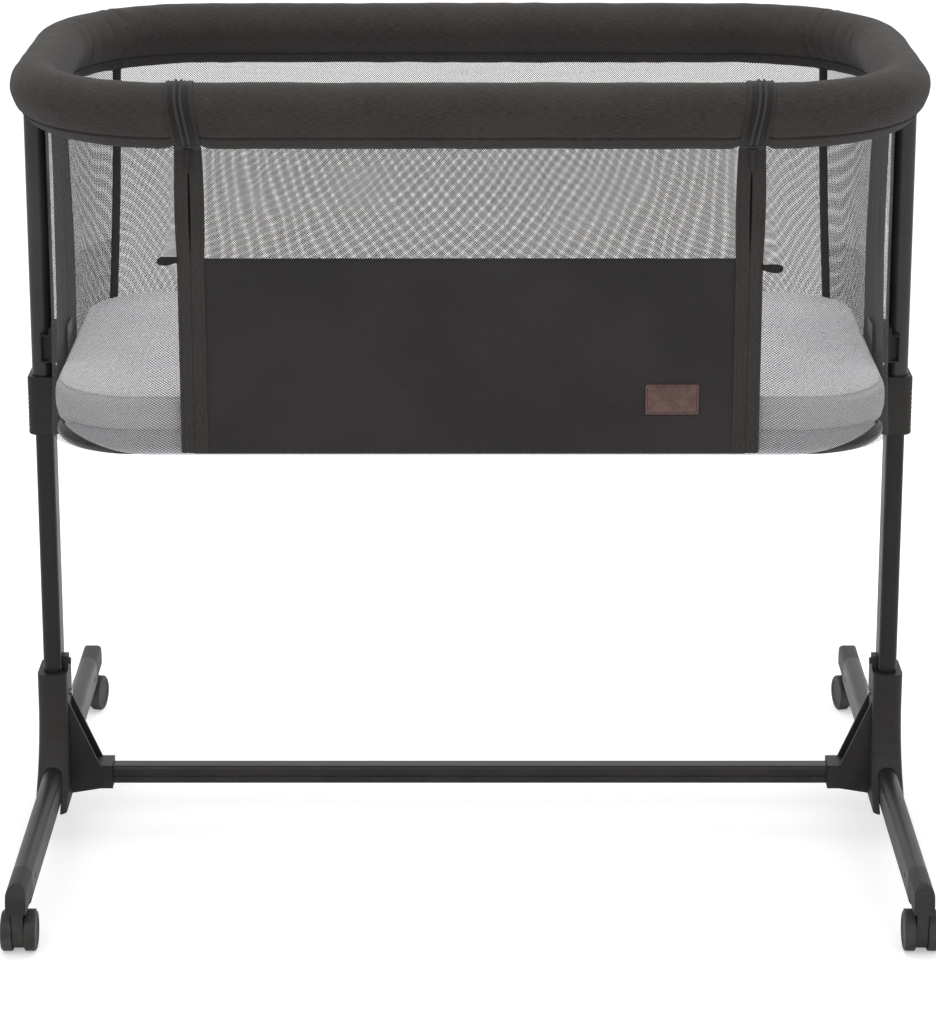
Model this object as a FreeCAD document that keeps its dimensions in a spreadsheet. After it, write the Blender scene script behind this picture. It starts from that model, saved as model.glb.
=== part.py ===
"""Bedside sleeper crib: a padded mesh basket hung between two telescopic legs on castered feet.

Millimetres, +X along the crib's length, -Y towards the drop side, +Z up, and the origin on the
floor under the middle of the crib. Every driving size is a cell of the spreadsheet "sizes".
"""
import FreeCAD, Part
import Sketcher
import math
import os
import types

os.makedirs("parts", exist_ok=True)
doc = FreeCAD.newDocument("bedside_crib")
sheet = doc.addObject("Spreadsheet::Sheet", "sizes")
Vector = FreeCAD.Vector
Constraint = Sketcher.Constraint
UP = Vector(0, 0, 1)
ALONG_X = Vector(1, 0, 0)
ALONG_Y = Vector(0, 1, 0)
FULL_TURN = 360
HALF_TURN = 180


# ---------------------------------------------------------------- sizes

class Size:
    """A length that carries its number and the spreadsheet formula that gives it."""

    def __init__(self, value, formula):
        self.value = float(value)
        self.formula = formula

    def __float__(self):
        return self.value

    def __add__(self, other):
        other = as_size(other)
        return Size(self.value + other.value, f"({self.formula} + {other.formula})")

    def __sub__(self, other):
        other = as_size(other)
        return Size(self.value - other.value, f"({self.formula} - {other.formula})")

    def __mul__(self, factor):
        return Size(self.value * factor, f"({self.formula} * {factor})")

    def __truediv__(self, divisor):
        return Size(self.value / divisor, f"({self.formula} / {divisor})")

    def __neg__(self):
        return Size(-self.value, f"(0 - {self.formula})")


def as_size(number):
    """A plain number as a Size, so that sums may mix the two."""
    if isinstance(number, Size):
        return number
    return Size(number, repr(float(number)))


SIZES = {
    # stand: where the legs are and how long the feet run
    "leg_offset": 14,
    "foot_length": 590,
    "foot_width": 20,
    "foot_depth": 39,
    "foot_wall": 1.5,
    "foot_clearance_below": 35,
    "tube_edge_radius": 9,
    "part_gap": 0.3,
    "running_gap": 0.3,
    "pin_gap": 0.08,
    # end caps of the feet, which hold the casters
    "cap_reach": 55,
    "cap_spigot": 30,
    "cap_nose_radius": 18,
    "cap_heel": 9,
    "cap_heel_slope": 4,
    "cap_lift": 11.5,
    "snap_inset": 22,
    "snap_length": 9,
    "snap_height": 4,
    # twin-wheel casters
    "wheel_diameter": 40,
    "wheel_width": 11,
    "wheel_gap": 12,
    "wheel_dish": 0.8,
    "wheel_side_gap": 0.5,
    "caster_trail": 10,
    "stem_inset": 14,
    "stem_diameter": 8,
    "stem_length": 20,
    "axle_diameter": 6,
    "hood_diameter": 34,
    "pedal_width": 26,
    "pedal_length": 11,
    "pedal_thickness": 3,
    "pedal_pin_diameter": 3,
    "rear_caster_turn": 12,
    # moulded hubs between the feet, the legs and the cross bar
    "hub_top_height": 172.5,
    "hub_sleeve_width": 31,
    "hub_sleeve_depth": 54,
    "hub_foot_width": 34,
    "hub_foot_depth": 150,
    "hub_flare_height": 130,
    "hub_floor": 6,
    "hub_reach": 60,
    "gusset_height": 138,
    "gusset_spacing": 30,
    "gusset_thickness": 3,
    "socket_wall": 3,
    "socket_depth": 26,
    "screw_diameter": 4,
    "screw_head_diameter": 7.6,
    "screw_head_height": 2.6,
    "screw_drop": 28,
    "button_diameter": 7,
    "button_reach": 2.4,
    "button_travel": 3,
    "button_tab": 14,
    # cross bar
    "bar_size": 20,
    "bar_wall": 2,
    "bar_edge_radius": 4,
    "bar_groove_width": 3,
    "bar_groove_depth": 1,
    "bar_height": 53,
    # telescopic legs
    "leg_width": 19,
    "leg_depth": 38,
    "leg_wall": 1.2,
    "leg_edge_radius": 7,
    "leg_overlap": 164.5,
    "detent_diameter": 6,
    "detent_pitch": 36,
    "post_wall": 1,
    "post_top_drop": 18,
    # height collars with their levers
    "collar_below_bracket": 17,
    "collar_height": 62.5,
    "collar_outer_wall": 4.7,
    "collar_inner_wall": 7.2,
    "collar_edge_radius": 9,
    "collar_floor": 5.5,
    "collar_rib_pitch": 4.8,
    "collar_rib_width": 2.2,
    "collar_rib_depth": 1.2,
    "lever_width": 23.4,
    "lever_thickness": 3,
    "lever_pivot_height": 27,
    "lever_boss_diameter": 4.4,
    "lever_pin_diameter": 3,
    "lever_tip_rise": 5,
    "lever_lean": 2.8,
    "lever_tip_reach": 1.4,
    # brackets that hang the basket on the posts
    "bracket_rise": 37,
    "bracket_height": 36,
    "bracket_face_height": 29,
    "bracket_front": 9.7,
    "bracket_side": 8,
    "bracket_face_width": 10.5,
    "bracket_recess": 5,
    "bracket_frame": 1.6,
    "arm_depth": 20,
    "arm_height": 24,
    "lock_button_width": 7,
    "lock_button_rise": 7,
    "hanger_depth": 40,
    "hanger_thickness": 2.5,
    # rim: a bent tube in a padded sleeve
    "rim_height": 818,
    "rim_length": 854,
    "rim_depth": 468,
    "rim_corner_radius": 150,
    "rim_tube_diameter": 22,
    "rim_tube_wall": 1.5,
    "sleeve_diameter": 52,
    "saddle_width": 28,
    "saddle_depth": 46,
    "saddle_drop": 22,
    "saddle_wrap": 5,
    "saddle_reach": 26,
    # mesh walls, between the rim and the base
    "wall_thickness": 1.6,
    "wall_hem_drop": 4,
    "wall_top_inset": 8,
    "wall_end_inset": 9,
    "wall_side_inset": 16,
    "wall_bottom_radius": 90,
    # drop side, between the two zips
    "zip_inset": 8.9,
    "zip_split": 0.8,
    "zip_tape_width": 12.5,
    "zip_tape_thickness": 0.9,
    "zip_margin": 5,
    "dark_band_rise": 193,
    "slider_width": 9,
    "slider_height": 12,
    "slider_thickness": 3,
    "pull_width": 4.6,
    "pull_length": 22,
    "pull_thickness": 1.4,
    "pull_pin_diameter": 1.6,
    "patch_width": 52,
    "patch_height": 30,
    "patch_thickness": 1.2,
    "patch_inset": 72.1,
    "patch_rise": 52,
    "patch_edge_radius": 3,
    # base frame, board and mattress
    "base_tube_diameter": 16,
    "base_tube_wall": 1.2,
    "base_tube_inset": 13.5,
    "base_tube_height": 478,
    "board_thickness": 4,
    "board_inset": 10,
    "mattress_inset": 6,
    "mattress_thickness": 41,
    "mattress_crown": 6,
    "mattress_edge": 7,
}
DETENTS = 6
COLLAR_RIBS = 9
CORNER_FLATS = 12

s = types.SimpleNamespace()
for row, (alias, number) in enumerate(SIZES.items(), 1):
    sheet.set(f"A{row}", str(number))
    sheet.setAlias(f"A{row}", alias)
    setattr(s, alias, Size(number, f"sizes.{alias}"))

doc.recompute()


# ---------------------------------------------------------------- helpers of the document

def new_body(label):
    """An empty body whose label is the name of the piece."""
    body = doc.addObject("PartDesign::Body", label)
    body.Label = label
    return body


def sketch_on(body, role, offset=0):
    """A sketch on one of the body's own origin planes, moved along the plane's normal."""
    plane = next(item for item in body.Origin.OriginFeatures if item.Role == role)
    sketch = body.newObject("Sketcher::SketchObject", body.Label + "_sketch")
    sketch.AttachmentSupport = (plane, [""])
    sketch.MapMode = "FlatFace"
    offset = as_size(offset)
    sketch.AttachmentOffset = FreeCAD.Placement(Vector(0, 0, offset.value), FreeCAD.Rotation())
    sketch.setExpression("AttachmentOffset.Base.z", offset.formula)
    return sketch


def hold(sketch, kind, place, size):
    """Add one dimension to a sketch and bind it to the sheet."""
    number = sketch.addConstraint(Constraint(kind, *place, size.value))
    sketch.setExpression(f"Constraints[{number}]", size.formula)


def draw_rounded(sketch, centre_x, centre_y, width, height, radius):
    """A rectangle with four equal round corners, held by its sides and its radius."""
    left = as_size(centre_x) - width / 2
    right = as_size(centre_x) + width / 2
    low = as_size(centre_y) - height / 2
    high = as_size(centre_y) + height / 2
    x0, x1, y0, y1, r = (float(size) for size in (left, right, low, high, radius))
    turn = math.pi / 2
    corners = ((x1 - r, y0 + r, 3), (x1 - r, y1 - r, 0), (x0 + r, y1 - r, 1), (x0 + r, y0 + r, 2))
    ends = ((x0 + r, y0, x1 - r, y0), (x1, y0 + r, x1, y1 - r),
            (x1 - r, y1, x0 + r, y1), (x0, y1 - r, x0, y0 + r))
    edges = []
    for (ax, ay, bx, by), (cx, cy, quarter) in zip(ends, corners):
        edges.append(Part.LineSegment(Vector(ax, ay, 0), Vector(bx, by, 0)))
        circle = Part.Circle(Vector(cx, cy, 0), UP, r)
        edges.append(Part.ArcOfCircle(circle, quarter * turn, (quarter + 1) * turn))
    ids = sketch.addGeometry(edges, False)
    for index in range(len(ids)):
        following = ids[(index + 1) % len(ids)]
        sketch.addConstraint(Constraint("Tangent", ids[index], 2, following, 1))
    sketch.addConstraint(Constraint("Horizontal", ids[0]))
    sketch.addConstraint(Constraint("Vertical", ids[2]))
    sketch.addConstraint(Constraint("Horizontal", ids[4]))
    sketch.addConstraint(Constraint("Vertical", ids[6]))
    for arc in (ids[3], ids[5], ids[7]):
        sketch.addConstraint(Constraint("Equal", ids[1], arc))
    hold(sketch, "Radius", (ids[1],), as_size(radius))
    hold(sketch, "DistanceX", (-1, 1, ids[6], 1), left)
    hold(sketch, "DistanceX", (-1, 1, ids[2], 1), right)
    hold(sketch, "DistanceY", (-1, 1, ids[0], 1), low)
    hold(sketch, "DistanceY", (-1, 1, ids[4], 1), high)


def draw_polygon(sketch, points):
    """A closed outline of straight lines, each corner held from the sketch's origin."""
    points = [(as_size(x), as_size(y)) for x, y in points]
    places = [Vector(x.value, y.value, 0) for x, y in points]
    lines = [Part.LineSegment(a, b) for a, b in zip(places, places[1:] + places[:1])]
    ids = sketch.addGeometry(lines, False)
    for index in range(len(ids)):
        following = ids[(index + 1) % len(ids)]
        sketch.addConstraint(Constraint("Coincident", ids[index], 2, following, 1))
    for line, (x, y) in zip(ids, points):
        hold(sketch, "DistanceX", (-1, 1, line, 1), x)
        hold(sketch, "DistanceY", (-1, 1, line, 1), y)


def draw_box(sketch, x0, y0, x1, y1):
    """A plain rectangle between two opposite corners."""
    draw_polygon(sketch, ((x0, y0), (x1, y0), (x1, y1), (x0, y1)))


def draw_circle(sketch, centre_x, centre_y, radius):
    """A circle held by its centre and radius."""
    centre_x = as_size(centre_x)
    centre_y = as_size(centre_y)
    centre = Vector(centre_x.value, centre_y.value, 0)
    circle = sketch.addGeometry(Part.Circle(centre, UP, float(radius)), False)
    hold(sketch, "Radius", (circle,), as_size(radius))
    hold(sketch, "DistanceX", (-1, 1, circle, 3), centre_x)
    hold(sketch, "DistanceY", (-1, 1, circle, 3), centre_y)


def pad(body, sketch, length, both_ways=False, backwards=False):
    """Add material over a sketch."""
    feature = body.newObject("PartDesign::Pad", body.Label + "_pad")
    feature.Profile = sketch
    feature.setExpression("Length", as_size(length).formula)
    feature.SideType = "Symmetric" if both_ways else "One side"
    feature.Reversed = backwards
    doc.recompute()
    return feature


def pocket(body, sketch, length, both_ways=False, backwards=False):
    """Cut material over a sketch, and stop if nothing was cut."""
    before = body.Shape.Volume
    feature = body.newObject("PartDesign::Pocket", body.Label + "_pocket")
    feature.Profile = sketch
    feature.setExpression("Length", as_size(length).formula)
    feature.SideType = "Symmetric" if both_ways else "One side"
    feature.Reversed = backwards
    doc.recompute()
    if body.Shape.Volume > before - 1e-6:
        raise ValueError(f"a pocket of {body.Label} cuts nothing")
    return feature


def fillet(body, radius, wanted):
    """Round the edges of the body's last feature for which wanted(edge) is true."""
    base = body.Tip
    names = [f"Edge{number}" for number, edge in enumerate(base.Shape.Edges, 1) if wanted(edge)]
    feature = body.newObject("PartDesign::Fillet", body.Label + "_fillet")
    feature.Base = (base, names)
    feature.setExpression("Radius", as_size(radius).formula)
    doc.recompute()
    return feature


def place(item, x=0, y=0, z=0, turn=0):
    """Stand a finished object at x, y, z, turned about its own upright axis."""
    x, y, z, turn = (as_size(size) for size in (x, y, z, turn))
    rotation = FreeCAD.Rotation(UP, turn.value)
    item.Placement = FreeCAD.Placement(Vector(x.value, y.value, z.value), rotation)
    item.setExpression("Placement.Base.x", x.formula)
    item.setExpression("Placement.Base.y", y.formula)
    item.setExpression("Placement.Base.z", z.formula)
    item.setExpression("Placement.Rotation.Angle", turn.formula)


def mirrored(label, source):
    """The other hand of a piece: its mirror image across the crib's middle."""
    twin = doc.addObject("Part::Mirroring", label)
    twin.Label = label
    twin.Source = source
    twin.Base = Vector(0, 0, 0)
    twin.Normal = ALONG_X
    return twin


def solid_piece(label, shape):
    """A piece whose shape is worked out here from the sheet's sizes."""
    piece = doc.addObject("Part::Feature", label)
    piece.Label = label
    piece.Shape = shape
    piece.Placement = FreeCAD.Placement()
    return piece


def is_upright(edge):
    """True for a straight edge that runs along Z."""
    straight = isinstance(edge.Curve, Part.Line)
    return straight and abs(edge.tangentAt(edge.FirstParameter).z) > 0.999


nodes = []
leg_x = s.rim_length / 2 + s.leg_offset
foot_top = s.foot_clearance_below + s.foot_depth
foot_centre = s.foot_clearance_below + s.foot_depth / 2
foot_end = s.foot_length / 2
bracket_bottom_height = s.base_tube_height + s.bracket_rise
collar_bottom_height = bracket_bottom_height - s.collar_below_bracket - s.collar_height
leg_top_height = collar_bottom_height + s.leg_overlap
post_top_height = s.rim_height - s.post_top_drop
wall_bottom_height = s.base_tube_height - s.wall_hem_drop
wall_bottom_length = s.rim_length - s.wall_end_inset * 2
wall_bottom_depth = s.rim_depth - s.wall_side_inset * 2
wall_top_length = s.rim_length - s.wall_top_inset * 2
wall_top_depth = s.rim_depth - s.wall_top_inset * 2
wall_top_radius = s.rim_corner_radius - s.wall_top_inset
dark_band_height = s.base_tube_height + s.dark_band_rise
zip_spacing = s.rim_length - s.rim_corner_radius * 2 - s.zip_inset * 2


# ---------------------------------------------------------------- feet

def make_foot_tube(label):
    """Flat-oval steel tube that runs front to back, open at both ends, with two snap holes."""
    body = new_body(label)
    section = sketch_on(body, "XZ_Plane")
    draw_rounded(section, 0, foot_centre, s.foot_width, s.foot_depth, s.tube_edge_radius)
    draw_rounded(section, 0, foot_centre, s.foot_width - s.foot_wall * 2,
                 s.foot_depth - s.foot_wall * 2, s.tube_edge_radius - s.foot_wall)
    pad(body, section, s.foot_length, both_ways=True)
    holes = sketch_on(body, "YZ_Plane")
    for side in (-1, 1):
        middle = (foot_end - s.snap_inset) * side
        draw_box(holes, middle - s.snap_length / 2, foot_centre - s.snap_height / 2,
                 middle + s.snap_length / 2, foot_centre + s.snap_height / 2)
    pocket(body, holes, s.foot_width * 2, both_ways=True)
    place(body, x=-leg_x)
    return body


def make_foot_cap(label, x, side):
    """Moulded elbow on a foot's end: plugs into the tube and drops over the caster's stem."""
    body = new_body(label)
    section = sketch_on(body, "XZ_Plane")
    draw_rounded(section, 0, foot_centre, s.foot_width, s.foot_depth, s.tube_edge_radius)
    pad(body, section, s.cap_reach, backwards=True)
    spigot = sketch_on(body, "XZ_Plane")
    inside = s.foot_wall * 2 + s.part_gap * 2
    draw_rounded(spigot, 0, foot_centre, s.foot_width - inside, s.foot_depth - inside,
                 s.tube_edge_radius - s.foot_wall - s.part_gap)
    pad(body, spigot, s.cap_spigot)
    barb = sketch_on(body, "YZ_Plane")
    trim = s.part_gap
    draw_box(barb, -s.snap_inset - s.snap_length / 2 + trim, foot_centre - s.snap_height / 2 + trim,
             -s.snap_inset + s.snap_length / 2 - trim, foot_centre + s.snap_height / 2 - trim)
    pad(body, barb, s.foot_width - s.part_gap * 2, both_ways=True)
    beyond = s.cap_reach + s.cap_nose_radius
    above = foot_top + s.cap_nose_radius
    nose = sketch_on(body, "YZ_Plane")
    draw_nose(nose, s.cap_reach, foot_top, s.cap_nose_radius, beyond, above)
    pocket(body, nose, s.foot_width * 2, both_ways=True)
    underside = s.foot_clearance_below + s.cap_lift
    relief = sketch_on(body, "YZ_Plane")
    draw_polygon(relief, ((s.cap_heel, s.foot_clearance_below), (s.cap_heel + s.cap_heel_slope, underside),
                          (beyond, underside), (beyond, s.foot_clearance_below - s.cap_lift),
                          (s.cap_heel, s.foot_clearance_below - s.cap_lift)))
    pocket(body, relief, s.foot_width * 2, both_ways=True)
    bore = sketch_on(body, "XY_Plane", underside)
    draw_circle(bore, 0, s.cap_reach - s.stem_inset, s.stem_diameter / 2 + s.pin_gap)
    pocket(body, bore, s.stem_length, backwards=True)
    if side > 0:
        place(body, x=x, y=foot_end)
    else:
        place(body, x=x, y=-foot_end, turn=HALF_TURN)
    return body


def draw_nose(sketch, reach, top, radius, beyond, above):
    """The waste outside a quarter-round nose: an arc between two straight runs."""
    r = float(radius)
    centre = Vector(float(reach) - r, float(top) - r, 0)
    high = Vector(centre.x, float(top), 0)
    front = Vector(float(reach), centre.y, 0)
    far_low = Vector(float(beyond), centre.y, 0)
    far_high = Vector(float(beyond), float(above), 0)
    near_high = Vector(centre.x, float(above), 0)
    arc = Part.ArcOfCircle(Part.Circle(centre, UP, r), 0, math.pi / 2)
    edges = [arc, Part.LineSegment(high, near_high), Part.LineSegment(near_high, far_high),
             Part.LineSegment(far_high, far_low), Part.LineSegment(far_low, front)]
    ids = sketch.addGeometry(edges, False)
    for index in range(1, len(ids) - 1):
        sketch.addConstraint(Constraint("Coincident", ids[index], 2, ids[index + 1], 1))
    sketch.addConstraint(Constraint("Coincident", ids[0], 2, ids[1], 1))
    sketch.addConstraint(Constraint("Coincident", ids[4], 2, ids[0], 1))
    sketch.addConstraint(Constraint("Vertical", ids[1]))
    sketch.addConstraint(Constraint("Horizontal", ids[2]))
    sketch.addConstraint(Constraint("Vertical", ids[3]))
    sketch.addConstraint(Constraint("Horizontal", ids[4]))
    hold(sketch, "Radius", (ids[0],), as_size(radius))
    hold(sketch, "DistanceX", (-1, 1, ids[0], 3), reach - radius)
    hold(sketch, "DistanceY", (-1, 1, ids[0], 3), top - radius)
    hold(sketch, "DistanceX", (-1, 1, ids[2], 2), beyond)
    hold(sketch, "DistanceY", (-1, 1, ids[2], 2), above)
    sketch.addConstraint(Constraint("Vertical", ids[0], 3, ids[0], 2))
    sketch.addConstraint(Constraint("Horizontal", ids[0], 3, ids[0], 1))


nodes.append(make_foot_tube("foot_tube_left"))
nodes.append(mirrored("foot_tube_right", nodes[-1]))
for end_name, side in (("front", -1), ("rear", 1)):
    nodes.append(make_foot_cap(f"foot_cap_{end_name}_left", -leg_x, side))
    nodes.append(make_foot_cap(f"foot_cap_{end_name}_right", leg_x, side))


# ---------------------------------------------------------------- casters

stem_y = foot_end + s.cap_reach - s.stem_inset
caster_top = s.foot_clearance_below + s.cap_lift - s.running_gap
wheel_radius = s.wheel_diameter / 2
hood_width = s.wheel_gap - s.wheel_side_gap * 2
axle_end = s.wheel_gap / 2 + s.wheel_width - s.wheel_dish * 2
pedal_pivot_y = s.caster_trail + s.hood_diameter / 2 - s.pedal_pin_diameter * 2
pedal_pivot_z = wheel_radius + s.hood_diameter / 4
pedal_boss_radius = s.pedal_pin_diameter
pedal_arm_width = hood_width / 2


def make_caster_housing(label, has_pedal):
    """Hood between the wheels with its stem and its axle; it trails behind the stem."""
    body = new_body(label)
    hood = sketch_on(body, "YZ_Plane")
    draw_circle(hood, s.caster_trail, wheel_radius, s.hood_diameter / 2)
    pad(body, hood, hood_width, both_ways=True)
    neck = sketch_on(body, "YZ_Plane")
    neck_half = hood_width / 2 + s.wheel_side_gap * 2
    draw_box(neck, -neck_half, wheel_radius, neck_half, caster_top - s.socket_wall)
    pad(body, neck, hood_width, both_ways=True)
    boss = sketch_on(body, "XY_Plane", caster_top)
    draw_circle(boss, 0, 0, neck_half)
    pad(body, boss, s.socket_wall, backwards=True)
    stem = sketch_on(body, "XY_Plane", caster_top)
    draw_circle(stem, 0, 0, s.stem_diameter / 2)
    pad(body, stem, s.stem_length)
    axle = sketch_on(body, "YZ_Plane")
    draw_circle(axle, s.caster_trail, wheel_radius, s.axle_diameter / 2)
    pad(body, axle, axle_end * 2, both_ways=True)
    if has_pedal:
        slot = sketch_on(body, "YZ_Plane")
        clear = pedal_boss_radius + s.running_gap
        draw_box(slot, pedal_pivot_y - clear, pedal_pivot_z - clear * 2,
                 pedal_pivot_y + s.hood_diameter, pedal_pivot_z + clear)
        pocket(body, slot, pedal_arm_width + s.running_gap * 2, both_ways=True)
        pin = sketch_on(body, "YZ_Plane")
        draw_circle(pin, pedal_pivot_y, pedal_pivot_z, s.pedal_pin_diameter / 2 + s.pin_gap)
        pocket(body, pin, hood_width * 2, both_ways=True)
    return body


def make_wheel(label):
    """One caster wheel, turned about the axle: rounded tread, dished face, blind bore."""
    body = new_body(label)
    profile = sketch_on(body, "XY_Plane", wheel_radius)
    profile.AttachmentOffset = FreeCAD.Placement(
        Vector(0, s.caster_trail.value, wheel_radius.value), FreeCAD.Rotation())
    profile.setExpression("AttachmentOffset.Base.y", s.caster_trail.formula)
    inner = s.wheel_gap / 2
    outer = inner + s.wheel_width
    bore = s.axle_diameter / 2 + s.pin_gap
    bore_end = axle_end + s.running_gap
    face = outer - s.wheel_dish
    rim = wheel_radius * 0.72
    draw_polygon(profile, ((inner, bore), (bore_end, bore), (bore_end, 0), (face, 0),
                           (face, rim - s.wheel_dish), (outer, rim),
                           (outer, wheel_radius - s.wheel_dish * 2),
                           (outer - s.wheel_dish * 2, wheel_radius),
                           (inner + s.wheel_dish, wheel_radius),
                           (inner, wheel_radius - s.wheel_dish)))
    feature = body.newObject("PartDesign::Revolution", label + "_turned")
    feature.Profile = profile
    feature.ReferenceAxis = (profile, ["H_Axis"])
    feature.Angle = FULL_TURN
    return body


def make_wheel_pair(label, x, y, turn):
    """Both wheels of one caster, left and right of the hood."""
    wheel = make_wheel(label + "_half")
    twin = mirrored(label + "_twin", wheel)
    pair = doc.addObject("Part::Compound", label)
    pair.Label = label
    pair.Links = [wheel, twin]
    place(pair, x=x, y=y, turn=turn)
    return pair


def make_brake_pedal(label):
    """Foot pedal that pivots in the hood's slot, behind the wheels."""
    body = new_body(label)
    boss = sketch_on(body, "YZ_Plane")
    draw_circle(boss, pedal_pivot_y, pedal_pivot_z, pedal_boss_radius)
    pad(body, boss, pedal_arm_width, both_ways=True)
    tread_start = s.caster_trail + wheel_radius + s.running_gap * 3
    half = s.pedal_thickness / 2
    arm = sketch_on(body, "YZ_Plane")
    draw_box(arm, pedal_pivot_y, pedal_pivot_z - half, tread_start + half, pedal_pivot_z + half)
    pad(body, arm, pedal_arm_width, both_ways=True)
    tread = sketch_on(body, "YZ_Plane")
    draw_polygon(tread, ((tread_start, pedal_pivot_z - half), (tread_start, pedal_pivot_z + half),
                         (tread_start + s.pedal_length, pedal_pivot_z),
                         (tread_start + s.pedal_length, pedal_pivot_z - s.pedal_thickness)))
    pad(body, tread, s.pedal_width, both_ways=True)
    pin = sketch_on(body, "YZ_Plane")
    draw_circle(pin, pedal_pivot_y, pedal_pivot_z, s.pedal_pin_diameter / 2)
    pad(body, pin, hood_width, both_ways=True)
    return body


for hand, x in (("left", -leg_x), ("right", leg_x)):
    front_turn = as_size(0)
    rear_turn = as_size(HALF_TURN) - s.rear_caster_turn
    if hand == "right":
        rear_turn = as_size(HALF_TURN) + s.rear_caster_turn
    for end_name, y, turn in (("front", -stem_y, front_turn), ("rear", stem_y, rear_turn)):
        name = f"{end_name}_{hand}"
        housing = make_caster_housing(f"caster_housing_{name}", end_name == "front")
        place(housing, x=x, y=y, turn=turn)
        nodes.append(housing)
        nodes.append(make_wheel_pair(f"caster_wheels_{name}", x, y, turn))
    pedal = make_brake_pedal(f"brake_pedal_{hand}")
    place(pedal, x=x, y=-stem_y)
    nodes.append(pedal)


# ---------------------------------------------------------------- hubs and cross bar

def rounded_wire(width, depth, radius, z, x=0.0, y=0.0, flats=0):
    """A closed rounded rectangle in a level plane: four straights and four quarter corners.

    A corner is an arc, or a run of short flats where their number is given.
    """
    hx = width / 2
    hy = depth / 2
    radius = min(radius, hx - 0.05, hy - 0.05)
    steps = flats or 2
    corners = []
    for quarter, (sx, sy) in enumerate(((1, 1), (-1, 1), (-1, -1), (1, -1))):
        centre = Vector(x + sx * (hx - radius), y + sy * (hy - radius), z)
        angles = [math.pi / 2 * (quarter + step / steps) for step in range(steps + 1)]
        corners.append([centre + Vector(radius * math.cos(a), radius * math.sin(a), 0)
                        for a in angles])
    if flats:
        points = [point for corner in corners for point in corner]
        return Part.makePolygon(points + points[:1])
    edges = []
    for corner, following in zip(corners, corners[1:] + corners[:1]):
        edges.append(Part.Arc(*corner).toShape())
        edges.append(Part.LineSegment(corner[-1], following[0]).toShape())
    return Part.Wire(edges)


def block(x0, x1, y0, y1, z0, z1):
    """A box between two opposite corners."""
    return Part.makeBox(x1 - x0, y1 - y0, z1 - z0, Vector(x0, y0, z0))


def rounded_prism(width, depth, radius, z0, z1, x=0.0, y=0.0):
    """An upright prism on a rounded rectangle."""
    face = Part.Face(rounded_wire(width, depth, radius, z0, x, y))
    return face.extrude(Vector(0, 0, z1 - z0))


def oval_along_y(width, depth, radius, centre_z, length):
    """A flat-oval bar along Y, centred on the leg."""
    face = Part.Face(rounded_wire(width, depth, radius, 0.0))
    bar = face.extrude(Vector(0, 0, length))
    bar.rotate(Vector(0, 0, 0), ALONG_X, -90)
    bar.translate(Vector(0, -length / 2, centre_z))
    return bar


FLARE_STEPS = 6
FLARE_POWER = 2.4


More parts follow.
